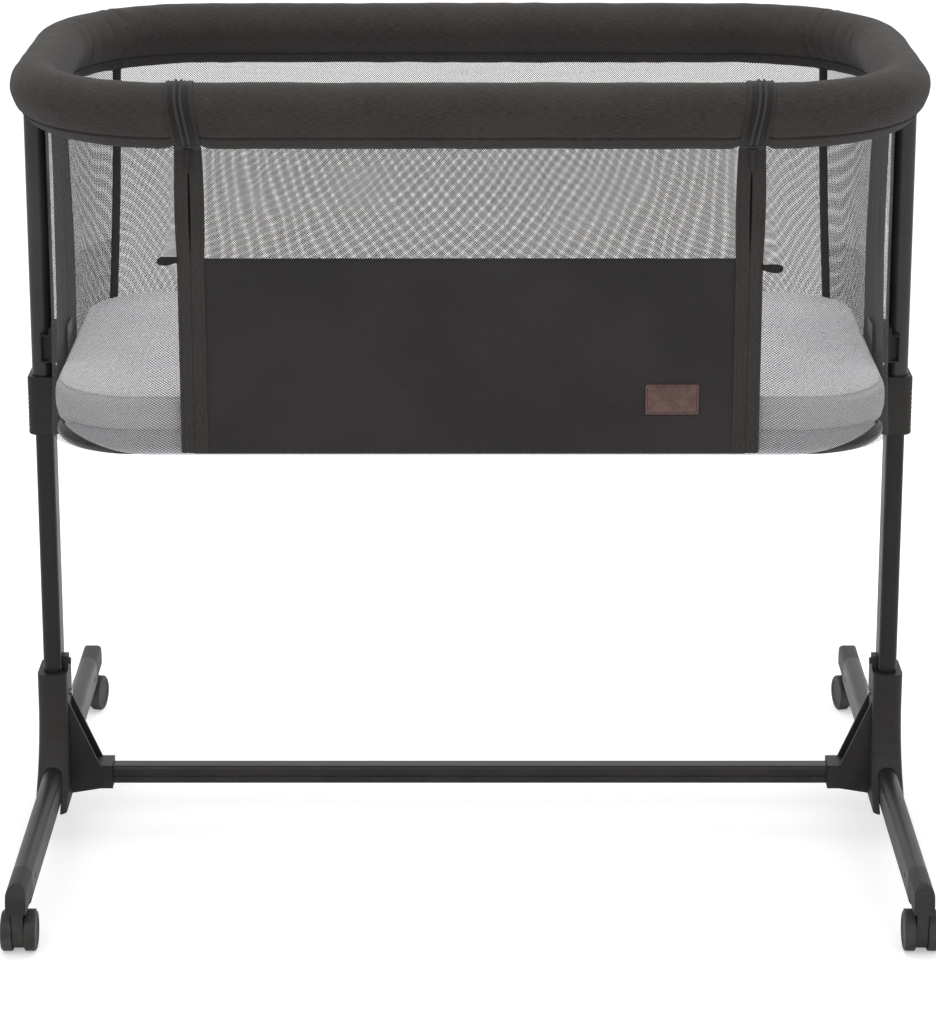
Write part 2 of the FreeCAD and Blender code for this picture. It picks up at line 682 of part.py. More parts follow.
def hub_shape():
    """Moulded leg hub: a flared saddle over the foot, a leg socket, a gusset and a bar socket.

    Built round the leg's axis with the crib's middle towards +X.
    """
    top = float(s.hub_top_height)
    flare = float(s.hub_flare_height)
    low = float(s.foot_clearance_below)
    sections = [rounded_wire(float(s.hub_sleeve_width), float(s.hub_sleeve_depth),
                             float(s.tube_edge_radius), top)]
    for step in range(FLARE_STEPS + 1):
        share = step / FLARE_STEPS
        z = flare + (low - flare) * share
        grow = share ** FLARE_POWER
        width = float(s.hub_sleeve_width) + float(s.hub_foot_width - s.hub_sleeve_width) * share
        depth = float(s.hub_sleeve_depth) + float(s.hub_foot_depth - s.hub_sleeve_depth) * grow
        sections.append(rounded_wire(width, depth, float(s.tube_edge_radius), z))
    hub = Part.makeLoft(sections, True, True)

    reach = float(s.hub_reach)
    socket = float(s.bar_size) / 2 + float(s.socket_wall)
    bar_z = float(s.bar_height)
    inside = float(s.hub_sleeve_width) / 2 - 2 * float(s.socket_wall)
    half = float(s.gusset_spacing) / 2
    thick = float(s.gusset_thickness)
    shoulder = reach - float(s.socket_depth) / 2
    outline = [(inside, float(s.gusset_height)), (float(s.hub_sleeve_width) / 2, float(s.gusset_height)),
               (shoulder, bar_z + socket), (reach, bar_z + socket), (reach, bar_z - socket),
               (shoulder, bar_z - socket), (float(s.hub_foot_width) / 2, low), (inside, low)]
    for y0 in (-half, half - thick):
        corners = [Vector(x, y0, z) for x, z in outline]
        cheek = Part.Face(Part.makePolygon(corners + corners[:1])).extrude(Vector(0, thick, 0))
        hub = hub.fuse(cheek)
    hub = hub.fuse(block(inside, reach, -half, half, bar_z - socket, bar_z + socket))

    slip = float(s.part_gap)
    leg_low = float(foot_top + s.hub_floor)
    leg_room = rounded_prism(float(s.leg_width) + slip, float(s.leg_depth) + slip,
                             float(s.leg_edge_radius), leg_low, top + 1)
    foot_room = oval_along_y(float(s.foot_width) + slip * 2, float(s.foot_depth) + slip * 2,
                             float(s.tube_edge_radius), float(foot_centre), float(s.hub_foot_depth) * 2)
    mouth = block(-float(s.foot_width) / 2 - slip, float(s.foot_width) / 2 + slip,
                  -float(s.hub_foot_depth), float(s.hub_foot_depth), low - 1, float(foot_centre))
    bar_room = rounded_prism(float(s.bar_size) + slip * 2, float(s.bar_size) + slip * 2,
                             float(s.bar_edge_radius), 0.0, float(s.socket_depth))
    bar_room.rotate(Vector(0, 0, 0), ALONG_Y, 90)
    bar_room.translate(Vector(reach - float(s.socket_depth), 0, bar_z))
    hub = hub.cut([leg_room, foot_room, mouth, bar_room])

    tab_low = top - float(s.hub_floor)
    tab_half = float(s.button_diameter) / 2 + float(s.socket_wall)
    tab_face = float(s.hub_sleeve_width) / 2
    tab = block(float(s.leg_width) / 2 + slip / 2, tab_face, -tab_half, tab_half,
                tab_low, top + float(s.button_tab))
    hub = hub.fuse(tab)
    button_z = top + float(s.button_tab) / 2
    button_room = Part.makeCylinder(float(s.button_diameter / 2 + s.running_gap), tab_face * 2,
                                    Vector(0, 0, button_z), ALONG_X)
    screw_z = top - float(s.screw_drop)
    screw_room = Part.makeCylinder(float(s.screw_diameter / 2 + s.part_gap), tab_face * 2,
                                   Vector(0, 0, screw_z), ALONG_X)
    return hub.cut([button_room, screw_room]).removeSplitter()


hub = solid_piece("leg_hub_left", hub_shape())
place(hub, x=-leg_x)
nodes.append(hub)
nodes.append(mirrored("leg_hub_right", hub))


def make_cross_bar(label):
    """Square tube with rounded edges and a shallow groove along its front and its back."""
    body = new_body(label)
    section = sketch_on(body, "YZ_Plane")
    draw_rounded(section, 0, s.bar_height, s.bar_size, s.bar_size, s.bar_edge_radius)
    draw_rounded(section, 0, s.bar_height, s.bar_size - s.bar_wall * 2, s.bar_size - s.bar_wall * 2,
                 s.bar_edge_radius - s.bar_wall)
    length = (leg_x - s.hub_reach + s.socket_depth) * 2 - s.part_gap * 2
    pad(body, section, length, both_ways=True)
    groove = sketch_on(body, "YZ_Plane")
    for side in (-1, 1):
        face = s.bar_size / 2 * side
        floor = (s.bar_size / 2 - s.bar_groove_depth) * side
        beyond = face + s.bar_groove_depth * side
        draw_box(groove, floor, s.bar_height - s.bar_groove_width / 2,
                 beyond, s.bar_height + s.bar_groove_width / 2)
    pocket(body, groove, length * 2, both_ways=True)
    return body


nodes.append(make_cross_bar("cross_bar"))

button_height = s.hub_top_height + s.button_tab / 2
screw_height = s.hub_top_height - s.screw_drop
tab_face_x = s.hub_sleeve_width / 2


def make_hub_screws(label):
    """Pan-head screws through each hub into its leg, heads on the hub's inner face."""
    screws = []
    for side in (1, -1):
        shank = doc.addObject("Part::Cylinder", label + "_shank")
        shank.setExpression("Radius", (s.screw_diameter / 2).formula)
        shank.setExpression("Height", (tab_face_x - s.leg_width / 2 + s.leg_wall * 3).formula)
        head = doc.addObject("Part::Cylinder", label + "_head")
        head.setExpression("Radius", (s.screw_head_diameter / 2).formula)
        head.setExpression("Height", s.screw_head_height.formula)
        turn = FreeCAD.Rotation(ALONG_Y, 90 * side)
        for item, start in ((shank, s.leg_width / 2 - s.leg_wall * 3), (head, tab_face_x)):
            x = (start - leg_x) * side
            item.Placement = FreeCAD.Placement(Vector(x.value, 0, screw_height.value), turn)
            item.setExpression("Placement.Base.x", x.formula)
            item.setExpression("Placement.Base.z", screw_height.formula)
        screw = doc.addObject("Part::Fuse", label + "_screw")
        screw.Base = shank
        screw.Tool = head
        screws.append(screw)
    group = doc.addObject("Part::Compound", label)
    group.Label = label
    group.Links = screws
    return group


nodes.append(make_hub_screws("hub_screws"))


def make_leg_button(label):
    """Round push button that pokes out of the leg through the hub's tab and locks the two."""
    body = new_body(label)
    end = tab_face_x + s.button_reach
    disc = sketch_on(body, "YZ_Plane", end)
    draw_circle(disc, 0, button_height, s.button_diameter / 2)
    pad(body, disc, end - s.leg_width / 2 + s.leg_wall + s.part_gap, backwards=True)
    place(body, x=-leg_x)
    return body


nodes.append(make_leg_button("leg_lock_button_left"))
nodes.append(mirrored("leg_lock_button_right", nodes[-1]))


# ---------------------------------------------------------------- telescopic legs

def make_lower_leg(label):
    """Inner tube of the leg: stands in the hub, with a row of height holes in its back."""
    body = new_body(label)
    start = foot_top + s.hub_floor
    section = sketch_on(body, "XY_Plane", start)
    draw_rounded(section, 0, 0, s.leg_width, s.leg_depth, s.leg_edge_radius)
    draw_rounded(section, 0, 0, s.leg_width - s.leg_wall * 2, s.leg_depth - s.leg_wall * 2,
                 s.leg_edge_radius - s.leg_wall)
    pad(body, section, leg_top_height - start)
    side_holes = sketch_on(body, "YZ_Plane")
    draw_circle(side_holes, 0, button_height, s.button_diameter / 2 + s.running_gap)
    draw_circle(side_holes, 0, screw_height, s.screw_diameter / 2 + s.part_gap)
    pocket(body, side_holes, s.leg_width, backwards=True)
    detents = sketch_on(body, "XZ_Plane")
    highest = collar_bottom_height + s.lever_pivot_height
    for step in range(DETENTS):
        draw_circle(detents, 0, highest - s.detent_pitch * step, s.detent_diameter / 2)
    pocket(body, detents, s.leg_depth)
    place(body, x=-leg_x)
    return body


def make_upper_post(label):
    """Outer tube of the leg: slides over the lower leg and carries the rim on its top."""
    body = new_body(label)
    start = collar_bottom_height + s.collar_floor
    inner_width = s.leg_width + s.running_gap * 2
    inner_depth = s.leg_depth + s.running_gap * 2
    section = sketch_on(body, "XY_Plane", start)
    draw_rounded(section, 0, 0, inner_width + s.post_wall * 2, inner_depth + s.post_wall * 2,
                 s.leg_edge_radius + s.running_gap + s.post_wall)
    draw_rounded(section, 0, 0, inner_width, inner_depth, s.leg_edge_radius + s.running_gap)
    pad(body, section, post_top_height - start)
    place(body, x=-leg_x)
    return body


nodes.append(make_lower_leg("lower_leg_left"))
nodes.append(mirrored("lower_leg_right", nodes[-1]))
nodes.append(make_upper_post("upper_post_left"))
nodes.append(mirrored("upper_post_right", nodes[-1]))

post_width = s.leg_width + s.running_gap * 2 + s.post_wall * 2
post_depth = s.leg_depth + s.running_gap * 2 + s.post_wall * 2
collar_left = post_width / 2 + s.collar_outer_wall
collar_right = post_width / 2 + s.collar_inner_wall
collar_middle = (collar_right - collar_left) / 2
collar_width = collar_left + collar_right
collar_depth = post_depth + s.collar_outer_wall * 2
collar_top = collar_bottom_height + s.collar_height
pivot_height = collar_bottom_height + s.lever_pivot_height
lever_boss_radius = s.lever_boss_diameter / 2
pivot_x = collar_right - lever_boss_radius - 1
recess_floor_x = pivot_x - lever_boss_radius - s.running_gap


def make_collar(label):
    """Moulded grip on the post's lower end, ribbed outside, recessed inside for its lever."""
    body = new_body(label)
    section = sketch_on(body, "XY_Plane", collar_bottom_height)
    draw_rounded(section, collar_middle, 0, collar_width, collar_depth, s.collar_edge_radius)
    pad(body, section, s.collar_height)
    rims = (collar_bottom_height.value, collar_top.value)
    fillet(body, s.collar_outer_wall / 2,
           lambda edge: any(abs(edge.BoundBox.ZMin - z) < 1e-4 and abs(edge.BoundBox.ZMax - z) < 1e-4
                            for z in rims))
    bore = sketch_on(body, "XY_Plane", collar_bottom_height)
    draw_rounded(bore, 0, 0, s.leg_width + s.running_gap * 2, s.leg_depth + s.running_gap * 2,
                 s.leg_edge_radius + s.running_gap)
    pocket(body, bore, s.collar_height, backwards=True)
    seat = sketch_on(body, "XY_Plane", collar_bottom_height + s.collar_floor)
    draw_rounded(seat, 0, 0, post_width + s.part_gap, post_depth + s.part_gap,
                 s.leg_edge_radius + s.running_gap + s.post_wall + s.part_gap / 2)
    pocket(body, seat, s.collar_height, backwards=True)
    recess = sketch_on(body, "XZ_Plane")
    draw_box(recess, recess_floor_x, pivot_height - lever_boss_radius - s.running_gap,
             collar_right * 2, collar_top + s.collar_floor)
    pocket(body, recess, s.lever_width + s.running_gap * 2, both_ways=True)
    pin = sketch_on(body, "XZ_Plane")
    draw_circle(pin, pivot_x, pivot_height, s.lever_pin_diameter / 2 + s.pin_gap)
    pocket(body, pin, s.lever_width + s.collar_inner_wall, both_ways=True)
    rib = sketch_on(body, "XZ_Plane")
    rib_low = collar_bottom_height + s.collar_floor
    draw_box(rib, -collar_left - s.collar_rib_depth, rib_low,
             -collar_left + s.collar_rib_depth, rib_low + s.collar_rib_width)
    groove = pocket(body, rib, collar_depth * 2, both_ways=True)
    pattern = body.newObject("PartDesign::LinearPattern", label + "_ribs")
    pattern.Originals = [groove]
    pattern.Direction = (rib, ["V_Axis"])
    pattern.Mode = "Spacing"
    pattern.setExpression("Offset", s.collar_rib_pitch.formula)
    pattern.Occurrences = COLLAR_RIBS
    body.Tip = pattern
    place(body, x=-leg_x)
    return body


def make_lever(label):
    """Height lever: a paddle on a pin across the collar's recess, hooked at its tip."""
    body = new_body(label)
    boss = sketch_on(body, "XZ_Plane")
    draw_circle(boss, pivot_x, pivot_height, lever_boss_radius)
    pad(body, boss, s.lever_width, both_ways=True)
    back = pivot_x - s.lever_thickness / 2
    front = pivot_x + s.lever_thickness / 2
    tip = collar_top + s.lever_tip_rise
    paddle = sketch_on(body, "XZ_Plane")
    draw_polygon(paddle, ((back, pivot_height), (front, pivot_height),
                          (front + s.lever_lean, collar_top - s.lever_tip_rise),
                          (front + s.lever_lean + s.lever_tip_reach, tip - s.lever_thickness),
                          (front + s.lever_lean + s.lever_tip_reach, tip),
                          (front + s.lever_lean / 2, tip), (back + s.lever_lean, collar_top)))
    pad(body, paddle, s.lever_width, both_ways=True)
    pin = sketch_on(body, "XZ_Plane")
    draw_circle(pin, pivot_x, pivot_height, s.lever_pin_diameter / 2)
    pad(body, pin, s.lever_width + s.collar_inner_wall / 2, both_ways=True)
    place(body, x=-leg_x)
    return body


nodes.append(make_collar("height_collar_left"))
nodes.append(mirrored("height_collar_right", nodes[-1]))
nodes.append(make_lever("height_lever_left"))
nodes.append(mirrored("height_lever_right", nodes[-1]))


# ---------------------------------------------------------------- basket brackets

side_face = post_width / 2 + s.part_gap / 2
side_end = side_face + s.bracket_side
front_face = -post_depth / 2 - s.part_gap / 2
front_end = front_face - s.bracket_front
bracket_top = bracket_bottom_height + s.bracket_height
lock_x = side_face + s.bracket_side / 2
lock_y = (front_face + front_end) / 2
arm_bottom = bracket_bottom_height + (s.bracket_height - s.arm_height) / 2
arm_end_y = s.arm_depth / 2
hanger_outer = wall_bottom_length / 2 - s.base_tube_inset + s.base_tube_diameter / 2 + s.part_gap \
    + s.hanger_thickness
arm_end = leg_x - hanger_outer - s.part_gap


def make_bracket(label):
    """Bracket on the post's inner front corner; its arm reaches through the wall to the base."""
    body = new_body(label)
    plan = sketch_on(body, "XY_Plane", bracket_bottom_height)
    face_left = side_face - s.bracket_face_width
    draw_polygon(plan, ((face_left, front_face), (face_left, front_end), (side_end, front_end),
                        (side_end, arm_end_y), (side_face, arm_end_y), (side_face, front_face)))
    pad(body, plan, s.bracket_face_height)
    upper = sketch_on(body, "XY_Plane", bracket_bottom_height)
    draw_polygon(upper, ((side_face - s.bracket_frame, front_face), (side_face - s.bracket_frame, front_end),
                         (side_end, front_end), (side_end, arm_end_y), (side_face, arm_end_y),
                         (side_face, front_face)))
    pad(body, upper, s.bracket_height)
    recess = sketch_on(body, "XZ_Plane", -front_end)
    draw_box(recess, face_left + s.bracket_frame, bracket_bottom_height + s.bracket_frame,
             side_face - s.bracket_frame, bracket_bottom_height + s.bracket_face_height - s.bracket_frame)
    pocket(body, recess, s.bracket_recess)
    arm = sketch_on(body, "YZ_Plane", side_end)
    draw_box(arm, -arm_end_y, arm_bottom, arm_end_y, arm_bottom + s.arm_height)
    pad(body, arm, arm_end - side_end)
    well = sketch_on(body, "XY_Plane", bracket_top)
    half = s.lock_button_width / 2 + s.running_gap
    draw_box(well, lock_x - half + s.bracket_frame / 2, lock_y - half,
             lock_x + half - s.bracket_frame / 2, lock_y + half)
    pocket(body, well, s.lock_button_rise * 2)
    place(body, x=-leg_x)
    return body


def make_lock_button(label):
    """Push button in the bracket's well that frees the basket from the post."""
    body = new_body(label)
    half = s.lock_button_width / 2
    plan = sketch_on(body, "XY_Plane", bracket_top + s.lock_button_rise)
    draw_box(plan, lock_x - half + s.bracket_frame / 2, lock_y - half,
             lock_x + half - s.bracket_frame / 2, lock_y + half)
    pad(body, plan, s.lock_button_rise * 2, backwards=True)
    place(body, x=-leg_x)
    return body


def make_hanger(label):
    """Steel plate that stands on the base frame and takes the bracket's arm."""
    body = new_body(label)
    face = sketch_on(body, "YZ_Plane", -hanger_outer)
    low = s.base_tube_height - s.base_tube_diameter / 2
    high = arm_bottom + s.arm_height + s.bracket_frame * 4
    draw_rounded(face, 0, (low + high) / 2, s.hanger_depth, high - low, s.patch_edge_radius)
    pad(body, face, s.hanger_thickness)
    return body


nodes.append(make_bracket("basket_bracket_left"))
nodes.append(mirrored("basket_bracket_right", nodes[-1]))
nodes.append(make_lock_button("basket_lock_button_left"))
nodes.append(mirrored("basket_lock_button_right", nodes[-1]))
nodes.append(make_hanger("base_hanger_left"))
nodes.append(mirrored("base_hanger_right", nodes[-1]))


# ---------------------------------------------------------------- rim

zip_x = zip_spacing / 2
zip_edge = zip_x + s.zip_split / 2
rim_radius = s.sleeve_diameter / 2


def rim_path(inset):
    """The rim's open centre line at rim height: from the right zip, round the back, to the left."""
    hx = float(s.rim_length) / 2
    hy = float(s.rim_depth) / 2
    r = float(s.rim_corner_radius)
    z = float(s.rim_height)
    stop = float(zip_edge) + inset
    bend = r * math.sqrt(0.5)
    edges = []
    here = Vector(stop, -hy, z)
    for sx, sy in ((1, -1), (1, 1), (-1, 1), (-1, -1)):
        centre = Vector(sx * (hx - r), sy * (hy - r), z)
        along_x = Vector(centre.x, sy * hy, z)
        along_y = Vector(sx * hx, centre.y, z)
        first, last = (along_x, along_y) if sx * sy < 0 else (along_y, along_x)
        middle = centre + Vector(sx * bend, sy * bend, 0)
        edges.append(Part.LineSegment(here, first).toShape())
        edges.append(Part.Arc(first, middle, last).toShape())
        here = last
    edges.append(Part.LineSegment(here, Vector(-stop, -hy, z)).toShape())
    return Part.Wire(edges)


def pipe_along(path, radius):
    """A round bar that follows an open path."""
    start = path.Edges[0]
    point = start.valueAt(start.FirstParameter)
    along = start.tangentAt(start.FirstParameter)
    circle = Part.Wire(Part.makeCircle(radius, point, along))
    return path.makePipeShell([circle], True, True)


def rim_tube_shape():
    """Bent steel tube, hollow, open at the drop side."""
    path = rim_path(0.0)
    outer = float(s.rim_tube_diameter) / 2
    return pipe_along(path, outer).cut(pipe_along(path, outer - float(s.rim_tube_wall)))


def saddle_room(grow):
    """The space that the left saddle fills, grown by a gap: a cap on the post and a tongue inward.

    The tongue reaches under the rim tube, which runs inward of the post.
    """
    hx = float(s.saddle_width) / 2 + grow
    hy = float(s.saddle_depth) / 2 + grow
    reach = float(s.saddle_reach) + grow
    top = float(s.rim_height - s.rim_tube_diameter / 2 + s.saddle_wrap) + grow
    low = float(post_top_height - s.saddle_drop) - grow
    tongue = block(-hx, reach, -hy, hy, float(post_top_height) - grow, top)
    return block(-hx, hx, -hy, hy, low, top).fuse(tongue).removeSplitter()


def rim_sleeve_shape():
    """Foam and fabric sleeve round the rim tube, let in over the two saddles."""
    path = rim_path(0.0)
    bore = float(s.rim_tube_diameter / 2 + s.part_gap)
    sleeve = pipe_along(path, float(rim_radius)).cut(pipe_along(path, bore))
    room = saddle_room(float(s.part_gap))
    room.translate(Vector(-float(leg_x), 0, 0))
    return sleeve.cut([room, room.mirror(Vector(), Vector(1, 0, 0))])


def rim_saddle_shape():
    """Moulded cap on the post's top with a half-round seat for the rim tube."""
    saddle = saddle_room(0.0)
    post_room = rounded_prism(float(post_width + s.part_gap), float(post_depth + s.part_gap),
                              float(s.leg_edge_radius + s.running_gap + s.post_wall),
                              float(post_top_height - s.saddle_drop) - 1, float(post_top_height))
    seat = Part.makeCylinder(float(s.rim_tube_diameter / 2 + s.part_gap), float(s.saddle_depth) * 2,
                             Vector(float(leg_x - s.rim_length / 2), -float(s.saddle_depth),
                                    float(s.rim_height)), ALONG_Y)
    saddle = saddle.cut([post_room, seat])
    upright = [edge for edge in saddle.Edges if is_upright(edge)
               and abs(abs(edge.BoundBox.Center.y) - float(s.saddle_depth) / 2) < 1e-3]
    return saddle.makeFillet(float(s.patch_edge_radius), upright)


nodes.append(solid_piece("rim_tube", rim_tube_shape()))
nodes.append(solid_piece("rim_sleeve", rim_sleeve_shape()))
saddle = solid_piece("rim_saddle_left", rim_saddle_shape())
place(saddle, x=-leg_x)
nodes.append(saddle)
nodes.append(mirrored("rim_saddle_right", saddle))


# ---------------------------------------------------------------- mesh walls

seat_offset = s.rim_depth / 2 - wall_top_depth / 2 - s.wall_thickness / 2
wall_top = float(s.rim_height) - float(s.part_gap) \
    - math.sqrt(float(rim_radius) ** 2 - float(seat_offset) ** 2)


def wall_shell(inside, outside, low=None, high=None):
    """The wall's ring between two offsets from its middle surface, ruled from base to rim."""
    rings = []
    for offset in (outside, inside):
        bottom = rounded_wire(float(wall_bottom_length) + 2 * offset,
                              float(wall_bottom_depth) + 2 * offset,
                              float(s.wall_bottom_radius) + offset,
                              float(wall_bottom_height), flats=CORNER_FLATS)
        top = rounded_wire(float(wall_top_length) + 2 * offset,
                           float(wall_top_depth) + 2 * offset,
                           float(wall_top_radius) + offset, wall_top, flats=CORNER_FLATS)
        rings.append(Part.makeLoft([bottom, top], True, True))
    shell = rings[0].cut(rings[1])
    if low is None:
        return shell
    wide = float(s.rim_length)
    return shell.common(block(-wide, wide, -wide, wide, low, high))


def front_box(x0, x1, z0, z1):
    """A box that takes the front stretch of the wall between two X and two Z."""
    return block(x0, x1, -float(s.rim_depth), 0.0, z0, z1)


corner_x = float(wall_top_length - wall_top_radius * 2 + wall_bottom_length
                 - s.wall_bottom_radius * 2) / 4
corner_y = float(wall_top_depth - wall_top_radius * 2 + wall_bottom_depth
                 - s.wall_bottom_radius * 2) / 4
half_wall = float(s.wall_thickness) / 2
wall_low = float(wall_bottom_height) - 1
wall_high = wall_top + 1


def rear_wedge():
    """The space behind the two rear seams, which run out at 45 degrees from the corners."""
    far = float(s.rim_length)
    plan = [(corner_x, corner_y), (corner_x + far, corner_y + far),
            (-corner_x - far, corner_y + far), (-corner_x, corner_y)]
    corners = [Vector(x, y, wall_low) for x, y in plan]
    face = Part.Face(Part.makePolygon(corners + corners[:1]))
    return face.extrude(Vector(0, 0, wall_high - wall_low))


wall = wall_shell(-half_wall, half_wall)
edge_x = float(zip_edge)
arm_window = block(-float(s.rim_length), 0.0,
                   -float(arm_end_y + s.running_gap), float(arm_end_y + s.running_gap),
                   float(arm_bottom - s.running_gap), float(arm_bottom + s.arm_height + s.running_gap))
rear_part = wall.common(rear_wedge())
rest = wall.cut(rear_wedge())
far = float(s.rim_length)
left_side = block(-far, 0.0, -far, far, wall_low, wall_high)
end_part = rest.common(left_side).cut([front_box(-edge_x, 0.0, wall_low, wall_high), arm_window])

nodes.append(solid_piece("rear_wall", rear_part))
nodes.append(solid_piece("end_wall_left", end_part))
nodes.append(mirrored("end_wall_right", nodes[-1]))


# ---------------------------------------------------------------- drop side

side_edge = float(zip_x - s.zip_split / 2)
band = float(dark_band_height)
nodes.append(solid_piece("front_mesh_panel",
                         wall.common(front_box(-side_edge, side_edge, band, wall_high))))
nodes.append(solid_piece("front_lower_panel",
                         wall.common(front_box(-side_edge, side_edge, wall_low, band))))

tape_in = half_wall + float(s.part_gap)
tape_out = tape_in + float(s.zip_tape_thickness)
tape_shell = wall_shell(tape_in, tape_out)
tape_low = float(wall_bottom_height)
tape_high = wall_top - float(s.zip_margin)
tape_width = float(s.zip_tape_width)
outer_tape = tape_shell.common(front_box(-edge_x - tape_width, -edge_x, tape_low, tape_high))
inner_tape = tape_shell.common(front_box(-side_edge, -side_edge + tape_width, tape_low, tape_high))
nodes.append(solid_piece("zip_tape_outer_left", outer_tape))
nodes.append(mirrored("zip_tape_outer_right", nodes[-1]))
nodes.append(solid_piece("zip_tape_inner_left", inner_tape))
nodes.append(mirrored("zip_tape_inner_right", nodes[-1]))


def make_rail(label, outer, inner, length):
    """A straight tube along the drop side's top edge."""
    body = new_body(label)
    section = sketch_on(body, "YZ_Plane")
    draw_circle(section, -s.rim_depth / 2, s.rim_height, outer)
    draw_circle(section, -s.rim_depth / 2, s.rim_height, inner)
    pad(body, section, length, both_ways=True)
    return body


rail_length = zip_spacing - s.zip_split
nodes.append(make_rail("front_rail_tube", s.rim_tube_diameter / 2,
                       s.rim_tube_diameter / 2 - s.rim_tube_wall, rail_length))
nodes.append(make_rail("front_rail_sleeve", rim_radius, s.rim_tube_diameter / 2 + s.part_gap,
                       rail_length))


def patch_shape():
    """Leather patch with round corners, sewn on the drop side's lower panel."""
    low = half_wall + float(s.part_gap)
    shell = wall_shell(low, low + float(s.patch_thickness))
    outline = Part.Face(rounded_wire(float(s.patch_width), float(s.patch_height),
                                     float(s.patch_edge_radius), 0.0))
    prism = outline.extrude(Vector(0, 0, float(s.rim_depth)))
    prism.rotate(Vector(0, 0, 0), ALONG_X, 90)
    prism.translate(Vector(float(zip_spacing / 2 - s.patch_inset), 0,
                           float(s.base_tube_height + s.patch_rise)))
    return shell.common(prism)


nodes.append(solid_piece("leather_patch", patch_shape()))

wall_front_bottom = wall_bottom_depth / 2
wall_lean = (wall_top_depth - wall_bottom_depth) / 2
wall_rise = wall_top - float(wall_bottom_height)
slider_high = as_size(wall_top) - s.zip_margin - s.running_gap
slider_low = slider_high - s.slider_height
tape_face = wall_front_bottom + wall_lean + as_size(tape_out) + s.running_gap
slider_face = tape_face + s.slider_thickness
pull_pivot_y = slider_face + s.pull_pin_diameter
pull_pivot_z = slider_low + s.slider_height / 3
ear_width = s.pull_width / 4


def make_slider(label):
    """Zip slider in front of the two tapes, with two ears that hold its pull."""
    body = new_body(label)
    face = sketch_on(body, "XZ_Plane", tape_face)
    draw_box(face, -s.slider_width / 2, slider_low, s.slider_width / 2, slider_high)
    pad(body, face, s.slider_thickness)
    ears = sketch_on(body, "YZ_Plane")
    draw_box(ears, -pull_pivot_y - s.pull_pin_diameter, pull_pivot_z - s.pull_pin_diameter,
             -slider_face + ear_width, pull_pivot_z + s.pull_pin_diameter)
    pad(body, ears, s.pull_width + s.running_gap * 2 + ear_width * 2, both_ways=True)
    gap = sketch_on(body, "YZ_Plane")
    draw_box(gap, -pull_pivot_y - s.pull_pin_diameter * 2, pull_pivot_z - s.pull_pin_diameter * 2,
             -slider_face, pull_pivot_z + s.pull_pin_diameter * 2)
    pocket(body, gap, s.pull_width + s.running_gap * 2, both_ways=True)
    hole = sketch_on(body, "YZ_Plane")
    draw_circle(hole, -pull_pivot_y, pull_pivot_z, s.pull_pin_diameter / 2 + s.pin_gap)
    pocket(body, hole, s.slider_width * 2, both_ways=True)
    place(body, x=-zip_x)
    return body


def make_pull(label):
    """Flat pull that hangs from the slider's ears on its own cross pin."""
    body = new_body(label)
    pin = sketch_on(body, "YZ_Plane")
    draw_circle(pin, -pull_pivot_y, pull_pivot_z, s.pull_pin_diameter / 2)
    pad(body, pin, s.pull_width + s.running_gap * 2 + ear_width * 2, both_ways=True)
    plate = sketch_on(body, "XZ_Plane", pull_pivot_y - s.pull_thickness / 2)
    low = pull_pivot_z - s.pull_length
    draw_polygon(plate, ((-s.pull_width / 2, pull_pivot_z), (-s.pull_width / 4, low),
                         (s.pull_width / 4, low), (s.pull_width / 2, pull_pivot_z)))
    pad(body, plate, s.pull_thickness)
    place(body, x=-zip_x)
    return body


nodes.append(make_slider("zip_slider_left"))
nodes.append(mirrored("zip_slider_right", nodes[-1]))
nodes.append(make_pull("zip_pull_left"))
nodes.append(mirrored("zip_pull_right", nodes[-1]))


# ---------------------------------------------------------------- base and mattress

base_inset = float(s.base_tube_inset)
base_radius = float(s.base_tube_diameter) / 2


def ring_bar(radius):
    """A round bar bent to a closed ring along the base: four straights and four quarter bends."""
    hx = float(wall_bottom_length) / 2 - base_inset
    hy = float(wall_bottom_depth) / 2 - base_inset
    r = float(s.wall_bottom_radius) - base_inset
    z = float(s.base_tube_height)
    pieces = []
    for sx, sy, start in ((1, 1, 0), (-1, 1, 90), (-1, -1, 180), (1, -1, 270)):
        bend = Part.makeTorus(r, radius, Vector(0, 0, 0), UP, -180, 180, 90)
        bend.rotate(Vector(0, 0, 0), UP, start)
        bend.translate(Vector(sx * (hx - r), sy * (hy - r), z))
        pieces.append(bend)
    for side in (-1, 1):
        pieces.append(Part.makeCylinder(radius, 2 * (hx - r),
                                        Vector(-(hx - r), side * hy, z), ALONG_X))
        pieces.append(Part.makeCylinder(radius, 2 * (hy - r),
                                        Vector(side * hx, -(hy - r), z), ALONG_Y))
    return pieces[0].fuse(pieces[1:])


def base_ring_shape():
    """Closed steel ring that frames the base, bent from one tube."""
    return ring_bar(base_radius).cut(ring_bar(base_radius - float(s.base_tube_wall)))


board_low = float(s.base_tube_height) + base_radius + float(s.part_gap)
board_high = board_low + float(s.board_thickness)


def mattress_shape():
    """Mattress with soft edges and a slight crown, lofted through level outlines."""
    inset = float(s.mattress_inset)
    low = board_high + float(s.part_gap)
    body_high = low + float(s.mattress_thickness)
    edge = float(s.mattress_edge)
    crown = float(s.mattress_crown)
    levels = ((low, edge * 0.7), (low + edge, 0.0), (body_high - edge, 0.0),
              (body_high - edge * 0.3, edge * 0.3), (body_high, edge),
              (body_high + crown * 0.7, edge * 4), (body_high + crown, edge * 10))
    outlines = []
    for z, draw_in in levels:
        step = inset + draw_in
        outlines.append(rounded_wire(float(wall_bottom_length) - 2 * step,
                                     float(wall_bottom_depth) - 2 * step,
                                     max(float(s.wall_bottom_radius) - step, edge), z))
    return Part.makeLoft(outlines, True, True)


